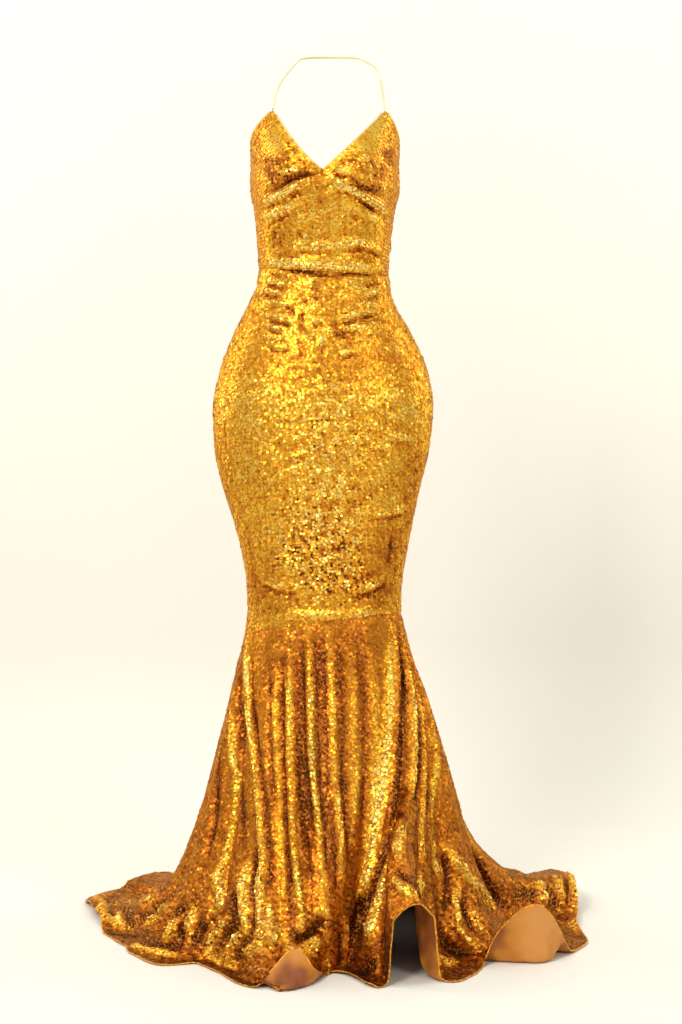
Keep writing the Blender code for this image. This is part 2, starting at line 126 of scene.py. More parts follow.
def ease(low, high, at):
    """0 below low, 1 above high, and smooth between."""
    t = np.clip((at - low) / (high - low), 0, 1)
    return t * t * (3 - 2 * t)


def figure(angle, height):
    """Places on the cloth's outer face, from the neckline to the knee seam."""
    turn = np.radians(angle)
    side, face = np.sin(turn), np.cos(turn)
    depth = np.where(face > 0, curve(SECTIONS, "front", height), curve(SECTIONS, "back", height))
    x = curve(SECTIONS, "half_width", height) * side
    across = (np.abs(x) - BUST_CENTRE) / BUST_HALF_WIDTH
    up = (height - BUST_HEIGHT) / BUST_HALF_HEIGHT
    bust = BUST_RISE * np.exp(-(across**2) - up**2) * np.clip(BUST_FADE * face, 0, 1)
    y = NECK_AXIS_Y - depth * face - bust
    return np.stack((x + curve(SECTIONS, "centre", height), y, height - NAPE_HEIGHT), -1)


def top_edge(angle):
    """The height of the neckline, armholes and back edge."""
    angle = (angle + 180) % 360 - 180
    right = np.clip((angle - V_POINT_ANGLE) / (RIGHT_APEX_ANGLE - V_POINT_ANGLE), 0, 1)
    left = np.clip((angle - V_POINT_ANGLE) / (LEFT_APEX_ANGLE - V_POINT_ANGLE), 0, 1)
    share = np.where(angle > V_POINT_ANGLE, left, right**RIGHT_NECKLINE_BOW)
    neckline = V_POINT_HEIGHT + (APEX_HEIGHT - V_POINT_HEIGHT) * share
    apex = np.where(angle > 0, LEFT_APEX_ANGLE, -RIGHT_APEX_ANGLE)
    share = np.clip((90 - np.abs(angle)) / (90 - apex), 0, 1) ** ARMHOLE_BOW
    armhole = ARMHOLE_SIDE_HEIGHT + (APEX_HEIGHT - ARMHOLE_SIDE_HEIGHT) * share
    share = np.clip((180 - np.abs(angle)) / 90, 0, 1) ** BACK_EDGE_BOW
    back = BACK_DIP_HEIGHT + (ARMHOLE_SIDE_HEIGHT - BACK_DIP_HEIGHT) * share
    front = (angle >= RIGHT_APEX_ANGLE) & (angle <= LEFT_APEX_ANGLE)
    return np.where(front, neckline, np.where(np.abs(angle) < 90, armhole, back))


def underbust(angle):
    """The height of the seam under the cups."""
    reach = np.abs(np.sin(np.radians(angle - V_POINT_ANGLE)))
    right = RIGHT_UNDERBUST_DROP * reach**RIGHT_UNDERBUST_BOW
    drop = np.where(angle > V_POINT_ANGLE, LEFT_UNDERBUST_DROP * reach, right)
    return V_POINT_HEIGHT - UNDERBUST_FROM_V - drop


def waist(angle):
    """The height of the waist seam."""
    return WAIST_HEIGHT - WAIST_TILT * np.sin(np.radians(angle))


Crease = namedtuple("Crease", "rise half_width path")


def creases(*rows):
    """Creases from rows: how far each stands out and half its width in millimetres, and its places."""
    return tuple(Crease(rise / 1000, half_width / 1000, path) for rise, half_width, *path in rows)


# Creases, one by one. A trough's rise is negative. The places that each runs through are an angle and a
# height. The long ones hang from the seams, and the short ones pucker.
BODICE_CREASES = creases(
    (6.0, 5.8, (-62.2, 1.241), (-48, 1.249), (-34.2, 1.256), (-23, 1.267), (-15.8, 1.276)),
    (-4.4, 3.8, (-58.8, 1.227), (-46, 1.236), (-31.2, 1.244), (-21.2, 1.254), (-15.5, 1.26)),
    (4.6, 5.2, (-63.2, 1.218), (-45.2, 1.224), (-31.8, 1.232), (-23.8, 1.237)),
    (-3.8, 3.6, (-51.2, 1.204), (-40.2, 1.213), (-31, 1.22), (-25.2, 1.222)),
    (-4.0, 6.2, (-56, 1.252), (-45.5, 1.261), (-33.8, 1.268), (-23.8, 1.279), (-12.8, 1.284), (-3.2, 1.288)),
    (6.0, 5.6, (0.5, 1.289), (9.5, 1.275), (16, 1.264), (26.8, 1.252), (38.8, 1.244), (50.8, 1.236),
     (61.8, 1.224)),
    (-4.8, 3.8, (10, 1.264), (18.2, 1.254), (27, 1.245), (37.8, 1.233), (47.2, 1.226)),
    (-3.6, 3.6, (4.8, 1.294), (10, 1.284), (21.8, 1.279)),
    (-4.0, 6.0, (18.8, 1.275), (28.2, 1.266), (39, 1.259), (54.2, 1.25)),
    (4.4, 4.0, (8, 1.295), (13.8, 1.291), (20.8, 1.288)),
    (5.0, 5.0, (-17, 1.164), (-3, 1.168), (7.8, 1.169), (18.5, 1.173), (30, 1.176), (39.2, 1.172),
     (55.8, 1.164)),
    (-4.8, 3.6, (18.8, 1.159), (34.2, 1.164), (45, 1.16), (60.8, 1.15)),
    (-3.0, 3.4, (-22.8, 1.156), (-7.2, 1.156), (5.8, 1.155)),
    (3.6, 4.2, (-65.2, 1.147), (-38, 1.147), (-18.2, 1.146)),
    (-3.0, 4.0, (-44.2, 1.196), (-46.5, 1.177), (-50.8, 1.16)),
    (-3.0, 3.4, (-48.2, 1.154), (-33.8, 1.151), (-20.5, 1.152)),
    (-3.4, 4.0, (-57.2, 1.316), (-44.8, 1.311), (-34.5, 1.313), (-30.2, 1.32)),
    (-3.6, 4.4, (-51.2, 1.306), (-47.5, 1.291), (-43.5, 1.276)),
    (3.0, 4.0, (-37, 1.289), (-27, 1.294), (-15.8, 1.297)),
    (-3.0, 3.6, (-29.5, 1.338), (-25.8, 1.329), (-19.8, 1.32)),
    (-3.0, 3.6, (9.8, 1.304), (17.5, 1.309), (27.8, 1.312)),
    (-3.2, 3.6, (35, 1.315), (39.2, 1.304), (43, 1.29), (40.8, 1.277)),
    (2.8, 3.6, (32.2, 1.319), (35.5, 1.304), (38, 1.289)),
    (-3.0, 3.6, (48.5, 1.323), (56.5, 1.326), (72.8, 1.324)),
    (-3.0, 3.6, (47.8, 1.304), (50.2, 1.287), (47.5, 1.274)),
    (-2.6, 3.6, (23.5, 1.224), (27.2, 1.217), (28.8, 1.208)),
    (2.6, 4.0, (39, 1.222), (45.2, 1.214), (50, 1.212)),
    (-2.4, 3.6, (-24.5, 1.196), (-21.2, 1.186), (-22.5, 1.174)),
    (2.4, 4.0, (-15.8, 1.192), (-13.5, 1.184), (-15.8, 1.174)),
    (5.6, 4.6, (-61, 1.144), (-30, 1.138), (0, 1.134), (24, 1.134), (58, 1.134)),
    (2.2, 7.0, (78, 1.300), (92, 1.262), (104, 1.232)),
    (-2.2, 6.0, (86, 1.318), (102, 1.276), (118, 1.244)),
    (2.6, 6.5, (100, 1.206), (124, 1.196), (150, 1.192)),
    (-2.8, 5.0, (98, 1.193), (126, 1.184), (156, 1.181)),
    (3.0, 6.0, (84, 1.172), (112, 1.160), (142, 1.158), (170, 1.163)),
    (-2.8, 4.5, (88, 1.160), (116, 1.150), (146, 1.149)),
    (2.6, 6.0, (190, 1.172), (214, 1.162), (244, 1.165), (272, 1.176)),
    (-2.6, 5.0, (194, 1.160), (220, 1.151), (250, 1.155)),
    (2.4, 6.0, (208, 1.200), (232, 1.205), (258, 1.222)),
    (-2.4, 5.5, (206, 1.188), (236, 1.192), (262, 1.207)),
    (2.0, 7.0, (282, 1.302), (270, 1.266), (256, 1.236)),
    (-2.0, 6.0, (274, 1.322), (262, 1.288), (244, 1.254)),
)

# Where the sequins lie differently, and where light and shade are painted: an angle, a height, how far it
# reaches across and down, how much lighter or darker they show, and how much more they stand up.
Patch = namedtuple("Patch", "angle height across down tone lift")
BODICE_PATCHES = (
    # The cups: a painted highlight on their upper slopes, where the sequins also lie flatter, and painted
    # shade under them, where the sequins stand up more.
    Patch(-43, 1.352, 0.020, 0.019, 0.19, -1.05),
    Patch(-41, 1.331, 0.016, 0.011, 0.17, -0.95),
    Patch(-38, 1.304, 0.028, 0.012, -0.26, 0.3),
    Patch(-40, 1.284, 0.024, 0.014, -0.28, 0.5),
    Patch(-26, 1.282, 0.018, 0.009, -0.22, 0.4),
    Patch(-17, 1.301, 0.012, 0.009, -0.14, 0.3),
    Patch(-28, 1.293, 0.012, 0.005, 0.20, 0.2),
    Patch(-62, 1.345, 0.008, 0.024, -0.14, 0.2),
    Patch(45, 1.376, 0.017, 0.018, 0.19, -1.05),
    Patch(41, 1.353, 0.020, 0.016, 0.19, -1.00),
    Patch(31, 1.335, 0.014, 0.010, 0.15, -0.85),
    Patch(57, 1.318, 0.014, 0.016, -0.26, 0.5),
    Patch(40, 1.265, 0.024, 0.011, -0.26, 0.5),
    Patch(26, 1.274, 0.016, 0.008, -0.20, 0.3),
    Patch(50, 1.290, 0.012, 0.014, -0.18, 0.4),
    Patch(20, 1.307, 0.017, 0.007, -0.14, 0.3),
    Patch(-66, 1.235, 0.014, 0.080, -0.09, -0.7),
    Patch(68, 1.235, 0.013, 0.080, -0.06, -0.7),
    Patch(0, 1.220, 0.045, 0.035, 0.08, 0.2),
    Patch(-46, 1.190, 0.016, 0.020, -0.12, 0.3),
)


# How finely a crease's line is cut, how far past its half width it is followed, and how it fades at
# its ends and swells between them.
CREASE_STEPS, CREASE_REACH, END_FADE, UNEVENNESS, SWELLS = 12, 2.6, 1.7, 0.22, 9
ENDS, SWELL_START = (0.03, 0.97), 4000


def creased(form, cloth, crease_rows):
    """How far the cloth stands out at each of its places, from creases that fade at their ends."""
    stands = np.zeros(cloth.shape[:2])
    for crease in crease_rows:
        turns, levels = np.array(crease.path, float).T
        steps = np.linspace(0, len(turns) - 1, CREASE_STEPS * len(turns))
        whole = np.arange(len(turns))
        line = form(np.interp(steps, whole, turns), np.interp(steps, whole, levels))
        reach = CREASE_REACH * crease.half_width
        near = ((cloth > line.min(0) - reach) & (cloth < line.max(0) + reach)).all(-1)
        if not near.any():
            continue
        away = np.linalg.norm(cloth[near][:, None] - line[None], axis=2)
        nearest = away.argmin(1)
        along = nearest / (len(line) - 1)
        fade = np.clip(np.sin(math.pi * np.clip(along, *ENDS)) * END_FADE, 0, 1)
        fade *= 1 + UNEVENNESS * np.sin(SWELLS * along + SWELL_START * crease.rise)
        bump = np.exp(-((away.min(1) / crease.half_width) ** 2))
        stands[near] += crease.rise * fade * bump
    return stands


RUMPLES, RUMPLE_BEND, RUMPLE_DRIFT, FULL_TURN = 9, 1.7, 2.1, 6.28


def rumpled(cloth, size, seed):
    """Small uneven waves over the cloth, about from -1 to 1, of a size across and a size up."""
    phases = np.random.default_rng(seed).uniform(0, 2 * math.pi, (RUMPLES, 4))
    waves = np.zeros(cloth.shape[:2])
    for k, (a, b, c, d) in enumerate(phases):
        stretch = 0.7 + 0.16 * k
        turn = 0.5 * math.sin(a)
        x = (cloth[..., 0] * math.cos(turn) + cloth[..., 1]) / size[0]
        z = (cloth[..., 2] + turn * cloth[..., 0]) / size[1]
        bend = RUMPLE_BEND * np.sin(z * RUMPLE_DRIFT + c)
        waves += np.sin(stretch * x * FULL_TURN + b + bend) * np.sin(stretch * z * FULL_TURN + d)
    return waves / (RUMPLES / 2)


def facing(cloth):
    """The outward direction at each place of a grid of cloth."""
    out = np.cross(np.gradient(cloth, axis=0), np.gradient(cloth, axis=1))
    out /= np.maximum(np.linalg.norm(out, axis=2, keepdims=True), 1e-12)
    flat_out = cloth * (1, 1, 0) - (0, NECK_AXIS_Y, 0)
    outward = (out * (flat_out + (0, 0, 0.02))).sum(2).mean()
    return out if outward > 0 else -out


def runs(cloth, axis):
    """How far each place lies along its row or column."""
    steps = np.linalg.norm(np.diff(cloth, axis=axis), axis=2)
    return np.insert(np.cumsum(steps, axis=axis), 0, 0, axis=axis)


CLOTH_WALL, ABOVE_FLOOR = 0.0011, 0.0022
# The seams at the bust and the waist draw the cloth in deeply, and the others only a little.
SEAM_DIP, SOFT_DIP, SEAM_HALF_WIDTH = 0.0022, 0.0008, 0.0036


def seamed(cloth, edges):
    """How far the cloth is drawn in at the seams, from a table of its edges and each one's dip."""
    drawn = np.zeros(cloth.shape[:2])
    across, down = runs(cloth, 0), runs(cloth, 1)
    away = {"start": across, "end": across[-1:] - across, "top": down, "foot": down[:, -1:] - down}
    for edge, dip in edges.items():
        drawn += dip * np.exp(-((away[edge] / SEAM_HALF_WIDTH) ** 2))
    return drawn


def even_turns(form, level, start, end, step):
    """Angles from start to end whose places on a line across the cloth are a step apart."""
    fine = np.linspace(start, end, 1500)
    line = form(fine, level(fine))
    run = np.append(0, np.cumsum(np.linalg.norm(np.diff(line, axis=0), axis=1)))
    return np.interp(np.linspace(0, run[-1], round(run[-1] / step) + 1), run, fine)


def gold_tones():
    """A group that turns a tone from 0 to 1 into the golds of one sequin cloth."""
    group = bpy.data.node_groups.new("gold_tones", "ShaderNodeTree")
    group.interface.new_socket("Tone", in_out="INPUT", socket_type="NodeSocketFloat")
    group.interface.new_socket("Color", in_out="OUTPUT", socket_type="NodeSocketColor")
    start, end = group.nodes.new("NodeGroupInput"), group.nodes.new("NodeGroupOutput")
    ramp = group.nodes.new("ShaderNodeValToRGB")
    golds = ((0.0, (0.10, 0.022, 0.002)), (0.22, (0.35, 0.078, 0.005)), (0.45, (0.69, 0.240, 0.013)),
             (0.68, (0.92, 0.47, 0.030)), (0.86, (0.96, 0.62, 0.085)), (1.0, (1.0, 0.76, 0.20)))
    while len(ramp.color_ramp.elements) < len(golds):
        ramp.color_ramp.elements.new(0.5)
    for stop, (place, colour) in zip(ramp.color_ramp.elements, golds):
        stop.position, stop.color = place, (*colour, 1)
    group.links.new(start.outputs["Tone"], ramp.inputs["Fac"])
    group.links.new(ramp.outputs["Color"], end.inputs["Color"])
    return group


def knit():
    """A group for a fine knit or weave that follows the cloth's own map: its height and its shade."""
    group = bpy.data.node_groups.new("knit", "ShaderNodeTree")
    for name in ("Across", "Down"):
        group.interface.new_socket(name, in_out="INPUT", socket_type="NodeSocketFloat")
    for name in ("Height", "Shade"):
        group.interface.new_socket(name, in_out="OUTPUT", socket_type="NodeSocketFloat")
    start, end = group.nodes.new("NodeGroupInput"), group.nodes.new("NodeGroupOutput")
    cloth_map = group.nodes.new("ShaderNodeUVMap")
    cloth_map.uv_map = "cloth"
    parts = group.nodes.new("ShaderNodeSeparateXYZ")
    group.links.new(cloth_map.outputs["UV"], parts.inputs[0])
    waves = []
    for axis, name in (("X", "Across"), ("Y", "Down")):
        scaled, wave = (group.nodes.new("ShaderNodeMath") for _ in range(2))
        scaled.operation, wave.operation = "MULTIPLY", "SINE"
        group.links.new(parts.outputs[axis], scaled.inputs[0])
        group.links.new(start.outputs[name], scaled.inputs[1])
        group.links.new(scaled.outputs[0], wave.inputs[0])
        waves.append(wave)
    both, shade = group.nodes.new("ShaderNodeMath"), group.nodes.new("ShaderNodeMapRange")
    both.operation = "MULTIPLY"
    group.links.new(waves[0].outputs[0], both.inputs[0])
    group.links.new(waves[1].outputs[0], both.inputs[1])
    shade.inputs["From Min"].default_value, shade.inputs["From Max"].default_value = -1, 1
    shade.inputs["To Min"].default_value, shade.inputs["To Max"].default_value = 0.82, 1.0
    group.links.new(both.outputs[0], shade.inputs["Value"])
    group.links.new(both.outputs[0], end.inputs["Height"])
    group.links.new(shade.outputs["Result"], end.inputs["Shade"])
    return group


GOLD_TONES, KNIT = gold_tones(), knit()


def new_finish(name, roughness, metallic):
    """A material with its shader, and a short way to add nodes and links to it."""
    finish = bpy.data.materials.new(name)
    finish.use_nodes = True
    tree = finish.node_tree
    shader = tree.nodes["Principled BSDF"]
    shader.inputs["Roughness"].default_value = roughness
    shader.inputs["Metallic"].default_value = metallic

    def add(kind, **values):
        node = tree.nodes.new(kind)
        for key, value in values.items():
            if key in node.inputs:
                node.inputs[key].default_value = value
            else:
                setattr(node, key, value)
        return node

    def link(out, into):
        tree.links.new(out, into)

    return finish, shader, add, link


def texture(add, link, kind, **values):
    """A texture over the piece's own space."""
    made = add(kind, **values)
    link(add("ShaderNodeTexCoord").outputs["Object"], made.inputs["Vector"])
    return made


def ranged(add, link, value, low, high):
    """A value from 0 to 1, moved to run from low to high."""
    made = add("ShaderNodeMapRange")
    made.inputs["To Min"].default_value, made.inputs["To Max"].default_value = low, high
    link(value, made.inputs["Value"])
    return made.outputs["Result"]


def ramped(add, link, value, stops):
    """The colours of a ramp along a value, from each stop's place and colour."""
    made = add("ShaderNodeValToRGB")
    while len(made.color_ramp.elements) < len(stops):
        made.color_ramp.elements.new(0.5)
    for stop, (place, colour) in zip(made.color_ramp.elements, stops):
        stop.position, stop.color = place, (*colour, 1)
    link(value, made.inputs["Fac"])
    return made.outputs["Color"]


def golden(add, link, tone):
    """The gold of a tone."""
    made = add("ShaderNodeGroup", node_tree=GOLD_TONES)
    link(tone, made.inputs["Tone"])
    return made.outputs["Color"]


def woven(add, link, shader, colour, across, down):
    """Gives a shader a colour under the knit's shade, and returns the knit's height."""
    weave = add("ShaderNodeGroup", node_tree=KNIT)
    weave.inputs["Across"].default_value, weave.inputs["Down"].default_value = across, down
    shaded = add("ShaderNodeMixRGB", blend_type="MULTIPLY", Fac=1.0)
    link(colour, shaded.inputs["Color1"])
    link(weave.outputs["Shade"], shaded.inputs["Color2"])
    link(shaded.outputs["Color"], shader.inputs["Base Color"])
    return weave.outputs["Height"]


def raised(add, link, shader, height, strength, distance):
    """Gives a shader the relief of a height."""
    relief = add("ShaderNodeBump", Strength=strength, Distance=distance)
    link(height, relief.inputs["Height"])
    link(relief.outputs["Normal"], shader.inputs["Normal"])


# The sequins: small flat discs of gold foil, each with a little roughness of wear. Each has its own tone,
# which also carries painted light and shade: highlights on the creases' ridges and the cups' tops, and
# shade in the troughs, at the seams, in the gaps and under the cups.
SEQUIN_GOLD, shader, add, link = new_finish("sequin_gold", 0.30, 0.84)
shader.inputs["Sheen Weight"].default_value, shader.inputs["Sheen Roughness"].default_value = 0.06, 0.35
shader.inputs["Sheen Tint"].default_value = (1.0, 0.80, 0.62, 1)
shader.inputs["Specular Tint"].default_value = (1.0, 0.80, 0.46, 1)
tone = add("ShaderNodeAttribute", attribute_name="tone")
link(golden(add, link, tone.outputs["Fac"]), shader.inputs["Base Color"])
scuff = texture(add, link, "ShaderNodeTexNoise", Scale=900.0, Detail=2.0)
link(ranged(add, link, scuff.outputs["Fac"], 0.26, 0.46), shader.inputs["Roughness"])

# The net under the sequins, seen between them: dark gold knit with rows of stitched discs' edges.
NET_GOLD, shader, add, link = new_finish("net_gold", 0.55, 0.35)
cells = texture(add, link, "ShaderNodeTexVoronoi", Scale=260.0)
dim = ranged(add, link, cells.outputs["Color"], 0.26, 0.56)
woven(add, link, shader, golden(add, link, dim), 7000, 7000)
raised(add, link, shader, cells.outputs["Distance"], 0.5, 0.0006)

# The backing: a smooth amber knit with a soft sheen, that shows where the hem turns over.
LINING_AMBER, shader, add, link = new_finish("lining_amber", 0.46, 0.0)
shader.inputs["Sheen Weight"].default_value = 0.08
shader.inputs["Sheen Tint"].default_value = (1.0, 0.72, 0.42, 1)
cloud = texture(add, link, "ShaderNodeTexNoise", Scale=13.0, Detail=2.0)
ambers = ramped(add, link, cloud.outputs["Fac"], (
    (0.40, (0.28, 0.062, 0.003)), (0.53, (0.64, 0.225, 0.010)), (0.66, (0.76, 0.310, 0.055))))
raised(add, link, shader, woven(add, link, shader, ambers, 5200, 5200), 0.35, 0.0004)


def new_piece(name, points, corners, sizes, finishes, slots=None):
    """A piece from arrays: its points, the corners of its faces, and how many corners each has."""
    mesh = bpy.data.meshes.new(name)
    mesh.vertices.add(len(points))
    mesh.vertices.foreach_set("co", np.asarray(points, np.float32).ravel())
    mesh.loops.add(len(corners))
    mesh.loops.foreach_set("vertex_index", np.asarray(corners, np.int32))
    mesh.polygons.add(len(sizes))
    starts = np.append(0, np.cumsum(sizes)[:-1])
    mesh.polygons.foreach_set("loop_start", np.asarray(starts, np.int32))
    for finish in finishes:
        mesh.materials.append(finish)
    if slots is not None:
        mesh.polygons.foreach_set("material_index", np.asarray(slots, np.int32))
    mesh.update(calc_edges=True)
    mesh.validate()
    piece = bpy.data.objects.new(name, mesh)
    bpy.context.scene.collection.objects.link(piece)
    return piece


def grid_faces(columns, rows, first=0, turned=False):
    """The corners of the squares of a grid whose places are counted down each column."""
    i, j = np.meshgrid(np.arange(columns - 1), np.arange(rows - 1), indexing="ij")
    a = (first + i * rows + j).ravel()
    square = np.stack((a, a + 1, a + rows + 1, a + rows), 1)
    return square[:, ::-1] if turned else square


def shell(name, cloth, out):
    """A thin shell: the sequinned face, the backing face behind it, and the raw edge between."""
    columns, rows, _ = cloth.shape
    inner = cloth - out * CLOTH_WALL
    count = columns * rows
    face, back = grid_faces(columns, rows), grid_faces(columns, rows, count, True)
    faces_out = np.dot(np.cross(cloth[0, 1] - cloth[0, 0], cloth[1, 0] - cloth[0, 0]), out[0, 0]) >= 0
    if not faces_out:
        face, back = face[:, ::-1], back[:, ::-1]
    number = np.arange(count).reshape(columns, rows)
    rim = np.concatenate((number[:, 0], number[-1, 1:], number[-2::-1, -1], number[0, -2:0:-1]))
    after = np.roll(rim, -1)
    edge = np.stack((rim, after, after + count, rim + count), 1)
    if faces_out:
        edge = edge[:, ::-1]
    faces = np.concatenate((face, back, edge))
    slots = np.repeat((0, 1, 1), (len(face), len(back), len(edge)))
    points = np.concatenate((cloth.reshape(-1, 3), inner.reshape(-1, 3)))
    piece = new_piece(name, points, faces.ravel(), np.full(len(faces), 4), (NET_GOLD, LINING_AMBER), slots)
    across, down = runs(cloth, 0).ravel(), runs(cloth, 1).ravel()
    spots = np.stack((np.tile(across, 2), np.tile(down, 2)), 1)
    cloth_map = piece.data.uv_layers.new(name="cloth")
    which = np.empty(len(piece.data.loops), np.int32)
    piece.data.loops.foreach_get("vertex_index", which)
    cloth_map.data.foreach_set("uv", spots[which].astype(np.float32).ravel())
    piece.data.shade_smooth()
    piece.data.set_sharp_from_angle(angle=math.radians(60))
    return piece


CLOUD_WAVES = 12


def clouds(places, size, seed):
    """Soft uneven patches of a size over places in space, about from -1 to 1."""
    draw = np.random.default_rng(seed)
    made = np.zeros(len(places))
    for _ in range(CLOUD_WAVES):
        way = draw.normal(size=3)
        way /= np.linalg.norm(way) * size * draw.uniform(0.7, 1.6)
        made += np.sin(2 * math.pi * (places @ way) + draw.uniform(0, 2 * math.pi))
    return made / math.sqrt(CLOUD_WAVES)


SEQUIN_SIDES, SEQUIN_RADIUS, SEQUIN_PITCH, ROW_PITCH = 6, 0.0024, 0.0042, 0.0037
# How far the sequins stray from even rows, as shares of the pitches; how much they nod downwards;
# how far they stand off the net; and the least and most of their size.
STRAY_ALONG, STRAY_DOWN, NOD, STAND = 0.3, 0.22, 0.08, 0.0005
SMALLEST, LARGEST = 0.92, 1.08

# How a run of the cloth looks: the form it lies on, its creases and patches, the height, width and
# length of its small waves, the tone of its sequins, how much they differ and tilt, and how much
# painted highlight the creases' ridges get and how much painted shade their troughs get.
Look = namedtuple("Look", "form creases patches waves tone differ tilt ridge_tone trough_tone")
# A crease this deep has its full painted highlight on a ridge and painted shade in a trough, and the
# seams count for this share, in the painted shade and in the lift. Sequins stand up by a lift of 1, by
# more in creases and some patches, and by almost nothing in flat ones.
CREASE_SCALE, MOST_RELIEF, SEAM_RELIEF = 0.0036, 1.5, 0.6
CREASE_LIFT, LEAST_LIFT, MOST_LIFT, MOST_CONTRAST = 0.5, 0.10, 2.4, 0.9
# Where sequins stand up by more than this, this share of them are painted darker by this: painted shade
# in the gaps between the lifted sequins.
GAP_FROM, GAP_SHARE, GAP_PAINTED_SHADE = 1.3, 0.26, 0.42


def sequins(name, cloth, out, relief, look, seed):
    """Rows of flat discs over a grid of cloth, each with a tone and a tilt of its own; the tone also holds
    painted highlights and painted shade.
    """
    draw = np.random.default_rng(seed)
    last = cloth.shape[1] - 1
    rows = max(2, round(runs(cloth, 1)[:, -1].mean() / ROW_PITCH))
    grids = np.concatenate((cloth, out, relief[..., None]), 2)
    kept = []
    for k in range(rows):
        at = (k + 0.5) / rows * last
        j = min(int(at), last - 1)
        line = grids[:, j] + (grids[:, j + 1] - grids[:, j]) * (at - j)
        line = np.concatenate((line, cloth[:, j + 1] - cloth[:, j]), 1)
        run = np.append(0, np.cumsum(np.linalg.norm(np.diff(line[:, :3], axis=0), axis=1)))
        number = max(2, int(run[-1] / SEQUIN_PITCH))
        spots = np.arange(number) + 0.25 + 0.5 * (k % 2) + draw.uniform(-STRAY_ALONG, STRAY_ALONG, number)
        spots = np.clip(spots, STRAY_ALONG, number - STRAY_ALONG) * run[-1] / number
        kept.append(np.stack([np.interp(spots, run, values) for values in line.T], 1))
    kept = np.concatenate(kept)
    centre, normal, relief, down = kept[:, :3], kept[:, 3:6], kept[:, 6], kept[:, 7:]
    number = len(centre)
    normal /= np.linalg.norm(normal, axis=1, keepdims=True)
    down -= normal * (down * normal).sum(1, keepdims=True)
    down /= np.linalg.norm(down, axis=1, keepdims=True)
    side = np.cross(normal, down)
    centre = centre + down * draw.normal(0, STRAY_DOWN * ROW_PITCH, number)[:, None]
    lift, even = np.ones(number), look.tone(centre)
    # Painted light and shade: sequins on the creases' ridges are made lighter, and those in the troughs and
    # at the seams darker.
    tone = even + np.where(relief > 0, look.ridge_tone, look.trough_tone) * relief
    # The patches shift the tone: partly the sequins' own lie, and partly painted light and shade on the cups.
    for patch in look.patches:
        away = centre - look.form(np.array(patch.angle), np.array(patch.height))
        aside = (away[:, 0] ** 2 + away[:, 1] ** 2) / patch.across**2
        share = np.exp(-aside - (away[:, 2] / patch.down) ** 2)
        tone += patch.tone * share
        lift += patch.lift * share
    tone += np.clip(lift - 1, -1, MOST_CONTRAST) * (even - even.mean())
    lift = np.clip(lift + CREASE_LIFT * np.abs(relief), LEAST_LIFT, MOST_LIFT)
    # Painted shade: some of the lifted sequins are made darker, as the shade in the gaps between them.
    tone -= GAP_PAINTED_SHADE * (draw.random(number) < GAP_SHARE * (lift - GAP_FROM))
    tone += look.differ * lift * draw.normal(0, 1, number)
    nod = lift * (NOD + look.tilt * draw.normal(0, 1, number))
    sway = lift * look.tilt * draw.normal(0, 1, number)
    tipped = normal - down * nod[:, None] + side * sway[:, None]
    tipped /= np.linalg.norm(tipped, axis=1, keepdims=True)
    hang = down - tipped * (down * tipped).sum(1, keepdims=True)
    hang /= np.linalg.norm(hang, axis=1, keepdims=True)
    across = np.cross(tipped, hang)
    stand = STAND + SEQUIN_RADIUS * 0.5 * np.maximum(np.abs(nod), np.abs(sway))
    centre = centre + normal * stand[:, None]
    radius = SEQUIN_RADIUS * draw.uniform(SMALLEST, LARGEST, number)
    turns = np.arange(SEQUIN_SIDES) * 2 * math.pi / SEQUIN_SIDES
    rim = across[:, None] * np.cos(turns)[:, None] + hang[:, None] * np.sin(turns)[:, None]
    points = (centre[:, None] + rim * radius[:, None, None]).reshape(-1, 3)
    piece = new_piece(name, points, np.arange(len(points)), np.full(number, SEQUIN_SIDES), (SEQUIN_GOLD,))
    tones = piece.data.attributes.new("tone", "FLOAT", "POINT")
    tones.data.foreach_set("value", np.repeat(np.clip(tone, 0, 1), SEQUIN_SIDES).astype(np.float32))
    return piece


def lay_panel(name, look, turns, levels, edges, seed):
    """A panel of the gown: its shell and its sequins, in place of the part of that name."""
    cloth = look.form(turns[:, None], levels)
    folds = creased(look.form, cloth, look.creases)
    stands = folds - seamed(cloth, edges) + look.waves[0] * rumpled(cloth, look.waves[1:], seed)
    cloth = cloth + facing(cloth) * stands[..., None]
    cloth[..., 2] = np.maximum(cloth[..., 2], ABOVE_FLOOR - NAPE_HEIGHT)
    out = facing(cloth)
    # The folds and seams give the sequins their lift, and their painted highlights and painted shade.
    relief = (folds - SEAM_RELIEF * seamed(cloth, edges)) / CREASE_SCALE
    relief = np.clip(relief, -MOST_RELIEF, MOST_RELIEF)
    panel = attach(shell(name + "_cloth", cloth, out), "root")
    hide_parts(name)
    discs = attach(sequins(name + "_sequins", cloth, out, relief, look, seed), "root")
    return cloth, out


CLOTH_STEP = 0.0040


def body_levels(turns, high, low):
    """Rows from one height to another, a step apart on the longest column."""
    count = round((high(turns) - low(turns)).max() / CLOTH_STEP) + 1
    return high(turns)[:, None] + (low(turns) - high(turns))[:, None] * np.linspace(0, 1, count)


def body_tone(places):
    """The tone of the sequins above the knee: even, with soft clouds of a few sizes."""
    small, middle, broad = clouds(places, 0.0085, 5), clouds(places, 0.022, 6), clouds(places, 0.08, 7)
    deeper_at_knee = 0.045 * ease(-0.86, -0.93, places[:, 2])
    return 0.612 - deeper_at_knee + 0.145 * small + 0.045 * middle + 0.030 * broad


BODICE = Look(
    figure, BODICE_CREASES, BODICE_PATCHES, waves=(0.0007, 0.060, 0.020), tone=body_tone,
    differ=0.045, tilt=0.090, ridge_tone=0.30, trough_tone=0.40)

